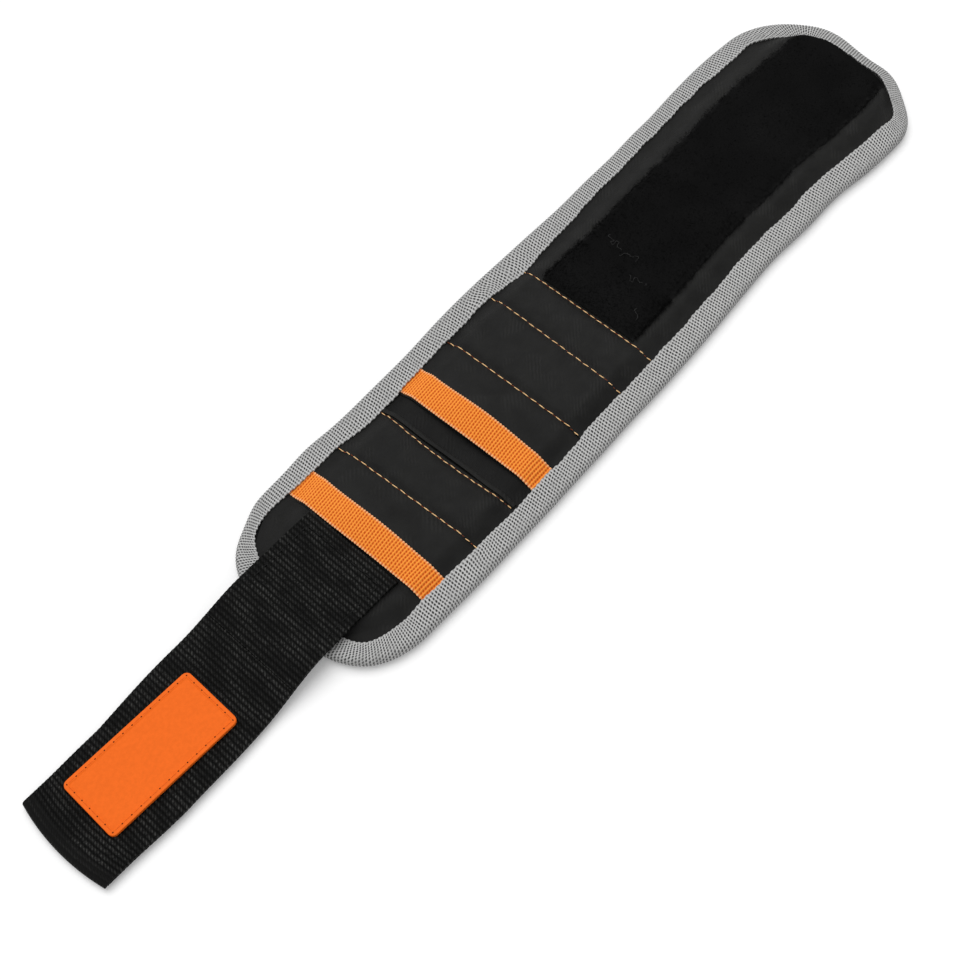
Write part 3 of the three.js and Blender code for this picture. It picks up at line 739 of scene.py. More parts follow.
# Needle holes are dark beads, painted as the shade in each hole.
needle_hole = small_finish(
    "needle_hole", (0.050, 0.008, 0.003), (0.120, 0.018, 0.005), 0.7, 2.2, 0.05, 0.05)
label_rubber = small_finish(
    "label_rubber", (0.83, 0.137, 0.010), (0.90, 0.150, 0.012), 0.55, 0.7, 0.03, 0.08)
hook_plastic = small_finish("hook_plastic", (0.008, 0.008, 0.009), (0.018, 0.018, 0.02), 0.4, 1.5, 0.04)
magnet_plate = small_finish(
    "magnet_plate", (0.42, 0.43, 0.45), (0.62, 0.63, 0.64), 0.3, 0.5, 0.02, 0.5, metallic=1.0)
magnet_rows = [f"magnet_row_{i}" for i in (1, 2, 3)]
for row in magnet_rows:
    node = frame["nodes"][row]
    node.data.materials.clear()
    node.data.materials.append(magnet_plate)
print("made the small finishes")

# %% [markdown]
# ## The lining and the pad
# The lining is a flat sheet on the floor that rises to the height where the tape grips it. The
# foam pad above is a closed cushion with a crown, and its sides come down in a soft shoulder to
# the thin edge inside the tape. The pad is a grid whose edge is drawn in and down, so its top and
# floor stay one closed body.

# %% The lining, in seven stretches
lining_inset = 6.5 * mm
lining_grip = 9.3 * mm
lining_drop = 1.2 * mm
lining_thickness = 0.5 * mm
shoulder_start = 10.4 * mm
shoulder_width = 8.0 * mm
lining_pieces = []


def lift_between(x, y, edge, crown):
    """A height that rises from its edge to its crown over the shoulder."""
    return edge + (crown - edge) * ease((inset_at(x, y) - shoulder_start) / shoulder_width)


def ends_of(stretch, inset):
    """Where a layer of a stretch starts and stops, given how far its ends are drawn in."""
    far = loop_end - edge_inset - (inset - edge_inset) * far_inset_share
    return max(stretch["low"], body_end + inset), min(stretch["high"], far)


def declare_layer(piece, stretch, inset):
    """Works out where a layer of a stretch starts and stops, and does nothing more."""
    start, stop = ends_of(stretch, inset)


def rows_along(start, stop, step):
    """Places along the band, closer together where an end of the outline is round."""
    xs = list(stations(start, stop, step))
    for end, sign, radius in ((loop_end, -1, loop_corner), (body_end, 1, strap_corner)):
        for turn in np.linspace(0, math.pi / 2, 16):
            x = end + sign * (radius - radius * math.cos(turn)) + sign * 2 * mm
            if start + mm < x < stop - mm:
                xs.append(x)
    xs = sorted(xs)
    return np.array([x for x, ahead in zip(xs, [*xs[1:], math.inf]) if ahead - x > 0.1 * mm])


def body_layer(name, stretch, inset, height, material, step=2.0 * mm, rows=60):
    """A layer over the whole width of one stretch, with its heights from a function."""
    start, stop = ends_of(stretch, inset)
    xs = rows_along(start, stop, step)
    vs = np.linspace(-1, 1, rows // coarse + 1)

    def place(x, v):
        y = v * reach_at(x, inset)
        return x, y, height(x, y)

    piece = cloth(name, xs, vs, place, material)
    uvs = piece.data.uv_layers["cut"].data
    cut = np.empty(len(uvs) * 2)
    uvs.foreach_get("uv", cut)
    cut = cut.reshape(-1, 2)
    cut[:, 1] *= half_width
    uvs.foreach_set("uv", cut.ravel())
    return piece


segment_names = [
    "loop_tip", "loop_mid", "loop_root", "far_magnets", "far_pocket", "near_magnets", "near_pocket",
]


def segments_of(stretch):
    """The solids' segment names that a stretch stands for; the last stretch has two."""
    own = [segment_names[stretch["number"] - 1]]
    return own + ["strap_end"] if stretch["number"] == len(stretches) else own


def lining_height(x, y):
    """The lining lies low under the pad and rises to the tape that grips its edge."""
    return lining_top - lining_drop * ease((inset_at(x, y) - lining_inset) / (lining_grip - lining_inset))


for stretch in stretches:
    name = f"lining_{stretch['number']}"
    piece = body_layer(name, stretch, lining_inset, lining_height, air_mesh, 2.5 * mm, 50)
    thicken(piece, lining_thickness)
    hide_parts(*[f"lining_{s}" for s in segments_of(stretch)])
    declare_layer(piece, stretch, lining_inset)
    bend(piece, stretch["joint"])
    lining_pieces.append(piece)
print(len(lining_pieces), "stretches of lining")

# %% The pad, in seven closed stretches
pad_inset = 2.0 * mm
pad_edge = 1.2 * mm
pad_pieces = []
magnet_floor = low("magnet_row_1").z - 0.15 * mm
recess_room = 0.4 * mm
recess_reach = high("magnet_row_1").y + 1.6 * mm


def in_recess(x, y):
    """Whether a place lies over a row of magnets, which sit in a hollow of the pad."""
    inside = np.abs(y) > math.inf
    for row in magnet_rows:
        inside = inside | ((x > low(row).x - recess_room) & (x < high(row).x + recess_room))
    return inside & (np.abs(y) < recess_reach)


def pad_piece(stretch):
    """The top of the pad as a grid, pulled down to the lining's height as one closed body."""
    def top(x, y):
        full = lift_between(x, y, pad_floor + pad_edge, pad_top - 0.1 * mm)
        return np.where(in_recess(x, y), magnet_floor, full)

    piece = body_layer(f"pad_{stretch['number']}", stretch, pad_inset, top, pad_cloth, 2.0 * mm, 60)
    build = bmesh.new()
    build.from_mesh(piece.data)
    grown = bmesh.ops.extrude_face_region(build, geom=build.faces[:])
    floor = [v for v in grown["geom"] if isinstance(v, bmesh.types.BMVert)]
    for vert in floor:
        vert.co.z = pad_floor
    bmesh.ops.recalc_face_normals(build, faces=build.faces[:])
    build.to_mesh(piece.data)
    build.free()
    return piece


for stretch in stretches:
    piece = pad_piece(stretch)
    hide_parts(*[f"foam_{s}" for s in segments_of(stretch)])
    bend(piece, stretch["joint"])
    pad_pieces.append(piece)
print(len(pad_pieces), "stretches of pad")

# %% [markdown]
# ## The face cloth
# The face lies over the pad, dips at each seam and puffs up between two seams where the foam and
# the magnets push it. Tiny puckers run out from a line of stitches, because the thread gathers
# the cloth, and they fade a few millimetres from the seam.

# %% Helper: the height of the face
face_inset = 7.0 * mm
face_edge = low("face_strap_end").z + 0.6 * mm
channel_puff = 1.4 * mm
seam_dip = 0.55 * mm
dip_reach = 1.8 * mm
pucker = 0.05 * mm
pucker_wave = 5.4 * mm
pucker_slant = 60
pucker_fade = 3 * mm
face_thickness = 0.8 * mm
channel_reach = half_width - shoulder_start
far_lines, near_lines = seams[:3], seams[3:]
channels = {}


def rise_of(x, y, a, b):
    """The rise of the channel between two stitched lines a > b, simulated or by formula."""
    t = (a - x) / (a - b)
    inside = (t > 0) & (t < 1)
    if (a, b) in channels:
        ts, ys, field = channels[(a, b)]
        i = np.clip(np.interp(t, ts, np.arange(len(ts))), 0, len(ts) - 1.001)
        j = np.clip(np.interp(y, ys, np.arange(len(ys))), 0, len(ys) - 1.001)
        i0, j0 = i.astype(int), j.astype(int)
        f, g = i - i0, j - j0
        near = field[i0, j0] * (1 - g) + field[i0, j0 + 1] * g
        far = field[i0 + 1, j0] * (1 - g) + field[i0 + 1, j0 + 1] * g
        return np.where(inside, near * (1 - f) + far * f, 0)
    across = 1 - np.clip(np.abs(y) / channel_reach, 0, 1) ** 4
    return np.where(inside, channel_puff * (1 - np.abs(2 * np.clip(t, 0, 1) - 1) ** 2.6) * across, 0)


def puff(x, y, lines):
    """The rise of the channels, and the dip with its puckers at each stitched line."""
    rise = 0
    for a, b in zip(lines, lines[1:]):
        rise = rise + rise_of(x, y, a, b)
    ends = 1 - np.clip(np.abs(y) / channel_reach, 0, 1) ** 8
    for line in lines:
        near = swell_near(x, line, dip_reach)
        fan = np.exp(-np.abs(x - line) / pucker_fade)
        slanting = 2 * math.pi * y / pucker_wave + pucker_slant * (x - line)
        gathers = np.cos(slanting) + 0.6 * ripple(x, y, 9 * mm)
        rise = rise + (pucker * fan * gathers - seam_dip * near) * ends
    return rise


def face_height(x, y, lines):
    """The height of the face: shoulders, channels, puckers and a soft unevenness."""
    uneven = 0.16 * mm * ripple(x, y, 38 * mm) + 0.08 * mm * ripple(x, y, 11 * mm, 1.0)
    return lift_between(x, y, face_edge, face_top) + puff(x, y, lines) + uneven


print("channels puff by", round(channel_puff / mm, 1), "mm")

# %% [markdown]
# The puff of a channel is best found by Blender's own cloth. Each channel is a grid held along its
# two seams and its ends, a little larger than the gap it covers, and a low pressure lifts it as
# the foam does. The solver likes things the size of furniture, so the grid is simulated twenty
# times its size. The result is kept as a field of heights, which every piece of the face reads.

# %% Simulate the channels
cloth_enlarged = 20
cloth_step = 1.1 * mm
cloth_spare = 0.022
cloth_frames = 26
cloth_start = 0.002 * mm
solver_settings = {
    "quality": 6, "mass": 0.3, "tension_stiffness": 12, "compression_stiffness": 12,
    "shear_stiffness": 6, "bending_stiffness": 0.6, "vertex_group_mass": "held",
    "shrink_min": -cloth_spare, "use_pressure": True, "uniform_pressure_force": 2.5,
}
rise_cap = 1.3 * mm
calm_rounds = 16


def simulated_rise(a, b):
    """Holds a channel's edges, lets pressure lift it, and returns its heights on its grid."""
    us = stations(0, a - b, cloth_step) * cloth_enlarged
    vs = stations(-channel_reach, channel_reach, cloth_step) * cloth_enlarged

    def place(u, v):
        return u, v, cloth_start * cloth_enlarged * ripple(u, v, 90 * mm * cloth_enlarged)

    sheet = cloth("channel", us, vs, place, face_cloth, lay=as_placed)
    points = np.empty(len(sheet.data.vertices) * 3)
    sheet.data.vertices.foreach_get("co", points)
    points = points.reshape(-1, 3)
    at_seam = (points[:, 0] < us[0] + 1e-6) | (points[:, 0] > us[-1] - 1e-6)
    at_end = np.abs(points[:, 1]) > vs[-1] - 1e-6
    held = sheet.vertex_groups.new(name="held")
    held.add([int(i) for i in np.flatnonzero(at_seam | at_end)], 1.0, "REPLACE")
    solver = sheet.modifiers.new("solver", "CLOTH")
    for setting, value in solver_settings.items():
        setattr(solver.settings, setting, value)
    solver.settings.effector_weights.gravity = 0
    for frame_number in range(1, cloth_frames + 1):
        bpy.context.scene.frame_set(frame_number)
    solved = sheet.evaluated_get(bpy.context.evaluated_depsgraph_get())
    result = np.empty(len(solved.data.vertices) * 3)
    solved.data.vertices.foreach_get("co", result)
    height = result.reshape(-1, 3)[:, 2] / cloth_enlarged
    i = np.rint(np.interp(points[:, 0], us, np.arange(len(us)))).astype(int)
    j = np.rint(np.interp(points[:, 1], vs, np.arange(len(vs)))).astype(int)
    field = np.zeros((len(us), len(vs)))
    field[i, j] = np.abs(height)
    bpy.context.scene.frame_set(1)
    mesh = sheet.data
    bpy.data.objects.remove(sheet)
    bpy.data.meshes.remove(mesh)
    print("channel", round((a - b) / mm, 1), "mm wide rises to", round(field.max() / mm, 2), "mm")
    soft = rise_cap * np.tanh(field / rise_cap)
    for _ in range(calm_rounds):
        soft[:, 1:-1] = (soft[:, :-2] + 2 * soft[:, 1:-1] + soft[:, 2:]) / 4
    return 1 - us / us[-1], vs / cloth_enlarged, soft


for line_pair in [*zip(far_lines, far_lines[1:]), *zip(near_lines, near_lines[1:])]:
    ts, ys, field = simulated_rise(*line_pair)
    channels[line_pair] = ts[::-1], ys, field[::-1]

# %% The plain face under the loop panel and under the strap
seam_join = creases[2]
strap_cloth_start = creases[6] + 5 * mm
pocket_join = 1.3 * mm


def face_piece(name, number, start, stop, lines, nodes):
    """The face cloth of one stretch between start and stop, quilted along its stitched lines."""
    stretch = stretches[number - 1]
    part = {**stretch, "low": max(start, stretch["low"]), "high": min(stop, stretch["high"])}

    def height(x, y):
        return face_height(x, y, lines)

    piece = body_layer(name, part, face_inset, height, face_cloth, 0.9 * mm, 110)
    thicken(piece, face_thickness)
    declare_layer(piece, part, face_inset)
    if nodes:
        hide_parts(*nodes)
    bend(piece, stretch["joint"])
    return piece


far_start, near_start = creases[3] + pocket_join, creases[5] + pocket_join
face_pieces = [
    face_piece("face_1", 1, seam_join, loop_end, far_lines, ["face_loop_tip"]),
    face_piece("face_2", 2, seam_join, loop_end, far_lines, ["face_loop_mid"]),
    face_piece("face_3", 3, seam_join, loop_end, far_lines, ["face_loop_root"]),
    face_piece("quilt_far_1", 3, body_end, seam_join, far_lines, []),
    face_piece("quilt_far_2", 4, far_start, loop_end, far_lines, ["quilted_face_far"]),
    face_piece("quilt_near_1", 5, body_end, fold_edge, near_lines, ["quilted_face_near"]),
    face_piece("quilt_near_2", 6, near_start, loop_end, near_lines, []),
    face_piece("face_strap", 7, body_end, strap_cloth_start, [near_mouth - mm], ["face_strap_end"]),
]
print(len(face_pieces), "pieces of face cloth")

# %% [markdown]
# Between the far pocket's mouth and the near channels the pad is covered by a plain floor cloth, painted
# darker as shade.
# The near face starts there with a rolled fold, where its cloth turns back under itself.

# %% The pocket floor and the rolled fold
floor_drop = 0.75 * mm
roll_radius = 0.75 * mm
roll_over = 0.9 * mm
roll_under = 8.5 * mm
roll_cloth = 0.35 * mm
roll_lean = 1.3 * mm
floor_tuck = 1.5 * mm
floor_cloth = 0.6 * mm


def pocket_floor():
    """The plain cloth in front of the far pocket's mouth, a little below the face, in the darker copy of
    the face cloth that is painted shade.
    """
    part = {**stretches[4], "low": fold_edge - floor_tuck}

    def height(x, y):
        sag = 0.25 * mm * ripple(x, y, 19 * mm)
        return lift_between(x, y, face_edge - 0.2 * mm, face_top - floor_drop) + sag

    # The floor takes the darker cloth, as painted shade.
    piece = body_layer("pocket_floor", part, face_inset, height, shaded_cloth, 1.0 * mm, 80)
    thicken(piece, floor_cloth)
    declare_layer(piece, part, face_inset)
    return piece


def fold_roll():
    """The near face's first edge: over the roll, round it, and back under the face."""
    reach = channel_reach - 0.5 * mm
    ys = stations(-reach, reach, 1.0 * mm)
    angles = np.linspace(math.pi / 2, -math.pi / 2, 11)
    turn = [(roll_radius * math.cos(a), math.sin(a)) for a in angles]
    path = [(-roll_over, 1.0), *turn, (-roll_under, -1.0)]
    forward, upward = np.array(path).T
    run = np.concatenate([[0], np.cumsum(np.hypot(np.diff(forward), roll_radius * np.diff(upward)))])

    def place(y, w):
        swell_across = np.cos(math.pi * y / (2 * (reach + mm)))
        lean = roll_lean * swell_across + 0.2 * mm * ripple(y, y, 17 * mm)
        radius = roll_radius * (0.55 + 0.45 * swell_across ** 0.5)
        x = fold_edge + lean + np.interp(w, run, forward)
        z = lift_between(x, y, face_edge, face_top) - 0.1 * mm + radius * np.interp(w, run, upward)
        return x, y, z

    piece = cloth("fold_roll", ys, run, place, face_cloth)
    thicken(piece, roll_cloth)
    return piece


floor_piece = pocket_floor()
roll_piece = fold_roll()
for piece in (floor_piece, roll_piece):
    bend(piece, "band_bend_5")
print("made", floor_piece.name, "and", roll_piece.name)

# %% [markdown]
# ## The loop panel
# The panel is a strip of brushed loops, sewn on the face from the first seam to the loop end. It
# is made in three stretches. Its cut edges are a little ragged, its height falls off towards
# them, and its far end dives under the tape.

# %% The loop panel's sheet
panel_start = seams[0] + 1.0 * mm
panel_inset = 10.4 * mm
panel_dive = 7 * mm
panel_end = high("loop_panel_loop_tip").x + 0.6 * mm
panel_thickness = 1.3 * mm


def panel_piece(number, stretch):
    """The panel's cloth in one stretch."""
    start = max(stretch["low"], panel_start)
    stop = min(stretch["high"], panel_end)
    xs = rows_along(start, stop, 1.0 * mm)
    vs = np.linspace(-1, 1, 60 // coarse + 1)

    def place(x, v):
        ragged = loop_half + 0.6 * mm * ripple(x, np.sign(v) * mm, 5 * mm, 0.5)
        y = v * np.minimum(ragged, reach_at(x, panel_inset))
        rounded = 1 - 0.8 * np.abs(v) ** 12
        dive = ease((x - panel_end + panel_dive) / panel_dive)
        start_round = 1 - 0.5 * np.exp(-(x - panel_start) / (0.7 * mm))
        fur = 0.1 * mm * ripple(x, y, 3.1 * mm) + 0.12 * mm * ripple(x, y, 21 * mm, 2.0)
        pile = (loop_top - face_top - 0.3 * mm) * rounded * start_round
        under = lift_between(x, y, face_edge, face_top)
        return x, y, under + pile * (1 - 0.6 * dive) + fur * (1 - dive)

    piece = cloth(f"loop_panel_{number}", xs, vs, place, loop_pile)
    thicken(piece, panel_thickness)
    return piece


panel_pieces = [panel_piece(i + 1, stretches[i]) for i in range(3)]
for piece, segment in zip(panel_pieces, ["loop_tip", "loop_mid", "loop_root"]):
    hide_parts(f"loop_panel_{segment}")
print(len(panel_pieces), "stretches of loop panel")

# %% [markdown]
# Real loops are far too many to model, so the sheet carries a few thousand stray ones, each a half
# ring spun from a three-sided section. One small shape is made by operators, and a helper then
# writes a copy of it for each place into one mesh, which is much lighter than as many objects.

# %% Helper: many copies of one small shape
def unit_mesh(build):
    """The points and faces of a small shape, after its bmesh is closed."""
    build.verts.ensure_lookup_table()
    points = np.array([v.co[:] for v in build.verts])
    faces = [[v.index for v in f.verts] for f in build.faces]
    build.free()
    return points, faces


def copies(name, unit, matrices, material, lay=settle):
    """One object that holds a copy of a small shape for each 4x4 matrix."""
    points, faces = unit
    matrices = np.array(matrices)
    matrices[:, :3, 3] = np.stack(lay(*matrices[:, :3, 3].T), 1)
    placed = np.einsum("nij,pj->npi", matrices[:, :3, :3], points) + matrices[:, None, :3, 3]
    flat = [[i + k * len(points) for i in face] for k in range(len(matrices)) for face in faces]
    mesh = bpy.data.meshes.new(name)
    mesh.from_pydata(placed.reshape(-1, 3).tolist(), [], flat)
    mesh.shade_smooth()
    mesh.update()
    return keep(mesh, name, material)


def turned(places, headings, tilts=None):
    """Matrices that stand a shape at each place, turned about Z and then tilted about its own Y."""
    matrices = np.zeros((len(places), 4, 4))
    c, s = np.cos(headings), np.sin(headings)
    t = np.zeros(len(places)) if tilts is None else tilts
    ct, st = np.cos(t), np.sin(t)
    matrices[:, 0, 0], matrices[:, 0, 1], matrices[:, 0, 2] = c * ct, -s, c * st
    matrices[:, 1, 0], matrices[:, 1, 1], matrices[:, 1, 2] = s * ct, c, s * st
    matrices[:, 2, 0], matrices[:, 2, 2] = -st, ct
    matrices[:, :3, 3] = places
    matrices[:, 3, 3] = 1
    return matrices


# %% The stray loops
loop_radius = 0.5 * mm
fibre_radius = 0.05 * mm
loops_each = 2500
strewn_share = 0.75
loop_lean = 0.4
loop_stand, fray_spread, fray_drop = 1.25 * mm, 0.6 * mm, 0.7 * mm


def loop_unit():
    """Half a ring: a three-sided section spun over half a turn, standing on the XY plane."""
    build = bmesh.new()
    section = Matrix.Translation((loop_radius, 0, 0))
    bmesh.ops.create_circle(build, segments=3, radius=fibre_radius, matrix=section, cap_ends=False)
    bmesh.ops.spin(
        build, geom=build.verts[:] + build.edges[:], cent=(0, 0, 0), axis=(0, -1, 0),
        dvec=(0, 0, 0), angle=math.pi, steps=6, use_merge=False, use_duplicate=False,
    )
    bmesh.ops.holes_fill(build, edges=build.edges[:], sides=3)
    bmesh.ops.recalc_face_normals(build, faces=build.faces[:])
    return unit_mesh(build)


def stray_loops(number, stretch):
    """Loops strewn over a panel, leaning at random, with more of them along its cut edges."""
    seeded = np.random.default_rng(number)
    start = max(stretch["low"], panel_start) + mm
    stop = min(stretch["high"], panel_end - 6 * mm) - mm
    x = seeded.uniform(start, stop, loops_each)
    side = seeded.random(loops_each)
    strewn = side < strewn_share
    edge = np.minimum(loop_half, reach_at(x, panel_inset) - mm)
    anywhere = seeded.uniform(-1, 1, loops_each) * edge
    frayed = edge - seeded.normal(0, fray_spread, loops_each)
    y = np.where(strewn, anywhere, np.sign(side - (1 + strewn_share) / 2) * frayed)
    z = lift_between(x, y, face_edge, face_top) + loop_stand - np.where(strewn, 0, fray_drop)
    headings = seeded.uniform(0, 2 * math.pi, loops_each)
    tilts = seeded.uniform(-loop_lean, loop_lean, loops_each)
    matrices = turned(np.stack([x, y, z], 1), headings, tilts)
    return copies(f"loops_{number}", loop_shape, matrices, loop_pile)


loop_shape = loop_unit()
loop_pieces = [stray_loops(i + 1, stretches[i]) for i in range(3)]
for piece, sheet_piece, stretch in zip(loop_pieces, panel_pieces, stretches):
    bend(piece, stretch["joint"])
    bend(sheet_piece, stretch["joint"])
print(3 * loops_each, "stray loops of", len(loop_shape[1]), "faces each")

# %% [markdown]
# Brushed loops always hold some lint. A few grey fibres lie across the panel in loose squiggles,
# and each is a chain of thin beads along a wandering line. A bead is a sphere, stretched along X.

# %% Lint on the panel
lint_step = 0.55 * mm
lint_radius = 0.14 * mm
lint_trails = [
    {"start": (88, 15.5), "heading": -1.9, "steps": 30, "turn": 1.5},
    {"start": (82, 6.5), "heading": -1.4, "steps": 22, "turn": 1.1},
    {"start": (77, -3.0), "heading": -1.6, "steps": 26, "turn": 1.3},
    {"start": (66, -16.0), "heading": -2.2, "steps": 12, "turn": 0.9},
]


def bead(length, radius):
    """A stretched sphere along X, for stitches and fibres."""
    build = bmesh.new()
    bmesh.ops.create_uvsphere(build, u_segments=8, v_segments=6, radius=1)
    bmesh.ops.rotate(build, verts=build.verts[:], matrix=Matrix.Rotation(math.pi / 2, 3, "Y"))
    bmesh.ops.scale(build, vec=(length / 2, radius, radius), verts=build.verts[:])
    return unit_mesh(build)


def lint_trail(trail, seeded):
    """Places and headings of the beads of one wandering fibre."""
    x, y = (value * mm for value in trail["start"])
    phase, places, headings = seeded.uniform(0, 2 * math.pi), [], []
    for k in range(trail["steps"]):
        wandering = math.sin(0.55 * k + phase) + 0.6 * math.sin(0.23 * k + 2 * phase)
        wandering += 0.25 * seeded.normal()
        heading = trail["heading"] + trail["turn"] * wandering
        x += lint_step * math.cos(heading)
        y += lint_step * math.sin(heading)
        places.append((x, y, loop_top - 0.16 * mm + 0.2 * mm * math.sin(0.8 * k)))
        headings.append(heading)
    return places, headings


seeded = np.random.default_rng(5)
trails = [lint_trail(trail, seeded) for trail in lint_trails]
lint_places = np.array([place for places, _ in trails for place in places])
lint_headings = np.array([heading for _, headings in trails for heading in headings])
lint_bead = bead(lint_step * 1.5, lint_radius)
lint = copies("panel_lint", lint_bead, turned(lint_places, lint_headings), lint_fibre)
bend(lint, stretches[1]["joint"])
print("lint of", len(lint_places), "beads")

# %% [markdown]
# ## The pockets
# A pocket is a panel sewn down along a seam, with an orange elastic ribbon on its mouth. The
# ribbon is shorter than the cloth under it, so it stands up in the middle and lies flat at its
# ends, where the tape holds it. Each panel is made as a root and a left and a right half.

# %% Helper: the swell of a pocket
pocket_half = half_width - 10.7 * mm
pocket_bulge = 4.2 * mm
mouth_share = 0.3
ribbon_width = far_crest - far_mouth
ribbon_thickness = 0.9 * mm
panel_gap = 0.15 * mm


def swell(x, y, start, mouth):
    """How far a pocket stands off the pad, most in the middle of its ribbon's upper edge."""
    across = np.cos(math.pi / 2 * np.clip(np.abs(y) / pocket_half, 0, 1)) ** 2
    crest = mouth + ribbon_width
    rise = ease((start - x) / (start - crest))
    fall = np.clip((crest - x) / ribbon_width, 0, 1) * (1 - mouth_share)
    return pocket_bulge * across * (rise - fall)


def pocket_height(x, y, start, mouth):
    """The height of a pocket's cloth over the band."""
    uneven = 0.1 * mm * ripple(x, np.abs(y), 26 * mm) * ease(np.abs(y) / (6 * mm))
    return lift_between(x, y, face_edge, face_top) + swell(x, y, start, mouth) + uneven


print("a pocket stands off by", round(pocket_bulge / mm, 1), "mm at its crest")

# %% The pocket panels
pockets = [
    {"name": "far", "seam": seams[2], "start": creases[3], "mouth": far_mouth,
     "joint": "far_pocket_open", "crease": "band_bend_4", "pad": "pad_4"},
    {"name": "near", "seam": seams[4], "start": creases[5], "mouth": near_mouth,
     "joint": "near_pocket_open", "crease": "band_bend_6", "pad": "pad_6"},
]
sides = ((1, "left"), (-1, "right"))
pocket_wide = pocket_half + 2.2 * mm
pocket_rows = 90


def pocket_cloth(name, pocket, start, stop, ys):
    """A stretch of pocket cloth from start down to stop, dipping at its seam."""
    def place(x, y):
        z = pocket_height(x, y, pocket["start"], pocket["mouth"])
        return x, y, z - seam_dip * swell_near(x, pocket["seam"], dip_reach)

    piece = cloth(name, stations(stop, start, mm), ys, place, face_cloth)
    thicken(piece, face_thickness)
    return piece


def open_mouth(piece, pocket):
    """Bakes the place of half a pocket into its mesh."""
    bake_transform(piece)


for pocket in pockets:
    root = hinges[pocket["crease"]]["pos_m"][0] - crease_reach[pocket["crease"]]
    pocket["root"] = root
    name, top = pocket["name"], pocket["start"] + pocket_join
    ys = np.linspace(-pocket_wide, pocket_wide, pocket_rows // coarse + 1)
    piece = pocket_cloth(f"pocket_root_{name}", pocket, top, root, ys)
    bend(piece, pocket["crease"])
    for side, word in sides:
        edge = side * pocket_wide
        ys = np.linspace(min(0, edge), max(0, edge), pocket_rows // 2 // coarse + 1)
        piece = pocket_cloth(f"pocket_{name}_{word}", pocket, root, pocket["mouth"], ys)
        open_mouth(piece, pocket)
        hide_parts(f"pocket_panel_{name}")
print(len(pockets), "pockets, each a root and two halves")

# %% The elastic ribbons
end_start = 31.5 * mm
end_run = 3 * mm
end_drop = 0.35 * mm
ribbon_ribs, ribbon_scallop, ribbon_bow = 0.09 * mm, 0.12 * mm, 0.35 * mm
ribbon_sunk, ribbon_wall = 0.3 * mm, 0.7 * mm


def ribbon_half(pocket, side, word):
    """Half a ribbon, with a scalloped selvedge, lying on the mouth of its pocket."""
    mouth, edge_y = pocket["mouth"], side * pocket_wide
    us = np.linspace(0, ribbon_width, 24 // coarse + 1)
    ys = stations(min(0, edge_y), max(0, edge_y), ribbon_rib * mm / 4)

    def place(u, y):
        ribs = np.cos(2 * math.pi * y / (ribbon_rib * mm))
        edge = ease(np.abs(u / ribbon_width - 0.5) * 12 - 5)
        x = mouth + u + np.sign(u - ribbon_width / 2) * ribbon_scallop * ribs * edge
        x = x + np.clip(y / pocket_half, 0, 1) ** 2 * (0.8 * mm + 1.2 * u / ribbon_width * mm)
        z = pocket_height(x, y, pocket["start"], mouth) + panel_gap + ribbon_thickness
        raised = ribbon_ribs * ribs + ribbon_bow * np.sin(math.pi * u / ribbon_width)
        held = ease((np.abs(y) - end_start) / end_run)
        return x, y, z + raised * (1 - held) - ribbon_sunk - end_drop * held

    piece = cloth(f"elastic_{pocket['name']}_{word}", us, ys, place, elastic_ribbon)
    thicken(piece, ribbon_wall)
    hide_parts(f"elastic_hem_{pocket['name']}")
    open_mouth(piece, pocket)
    return piece


hem_pieces = [ribbon_half(pocket, side, word) for pocket in pockets for side, word in sides]
print(len(hem_pieces), "half ribbons")

# %% [markdown]
# ## The grey tape
# The tape is folded in half over the edge. Its section is a path from the lining, round the edge
# and onto the face, and the grid runs that section round the outline. Every rib is four rows of
# the grid, raised and lowered along the section's normal. The inner edge wanders a little, as a
# sewn edge does.

# %% The tape's section
tape_under = 9.0 * mm
tape_cover = 10.3 * mm
tape_thickness = 0.8 * mm
fold_radius = 2.1 * mm
rib_height = 0.1 * mm
ribbon_lump = 0.55 * mm


def tape_section():
    """Places (inset, height) along the tape, from under the lining to its edge on the face."""
    under = [(inset, 0.05 * mm) for inset in np.linspace(tape_under, fold_radius + 0.4 * mm, 6)]
    turn = [
        (fold_radius - fold_radius * math.sin(a), tape_top / 2 - tape_top / 2 * math.cos(a))
        for a in np.linspace(0.12, math.pi - 0.12, 12)
    ]
    over = [
        (inset, tape_top - 0.35 * mm * ((inset - fold_radius) / tape_cover) ** 2)
        for inset in np.linspace(fold_radius + 0.5 * mm, tape_cover, 24 // coarse)
    ]
    return np.array(under + turn + over)


section = tape_section()
section_step = np.hypot(*np.diff(section, axis=0).T)
section_run = np.concatenate([[0], np.cumsum(section_step)])
tangent = np.gradient(section, section_run, axis=0)
section_normal = np.stack([tangent[:, 1], -tangent[:, 0]], 1)
section_normal /= np.linalg.norm(section_normal, axis=1, keepdims=True)
print("the tape is", round(section_run[-1] / mm, 1), "mm wide when flat")

# %% The tape round the edge
# Places round the edge, widths, and by how much less the tape covers there, all in millimetres.
cover_changes = [
    (0, 8, 1.0), (23, 6, -5.4), (33, 10, -4.6), (50, 9, -1.2), (61, 8, 1.8), (120, 50, 2.2),
    (168, 20, 0.8), (216, 12, -1.8), (241, 7, 0.7), (270, 14, 0.8), (312, 6, -0.6), (324, 9, 1.3),
    (366, 26, 2.4), (379, 12, 2.4), (460, 15, 2.3), (550, 20, 0.7), (580, 10, 0.9), (801, 13, 2.2),
    (838, 14, 1.9), (852, 8, 1.0),
]
edge_reach, cover_reach = 7 * mm, 9 * mm
edge_wander, wander_wave = 0.45 * mm, 31 * mm
edge_scallop = 0.16 * mm
whole_round = 2 * half_round


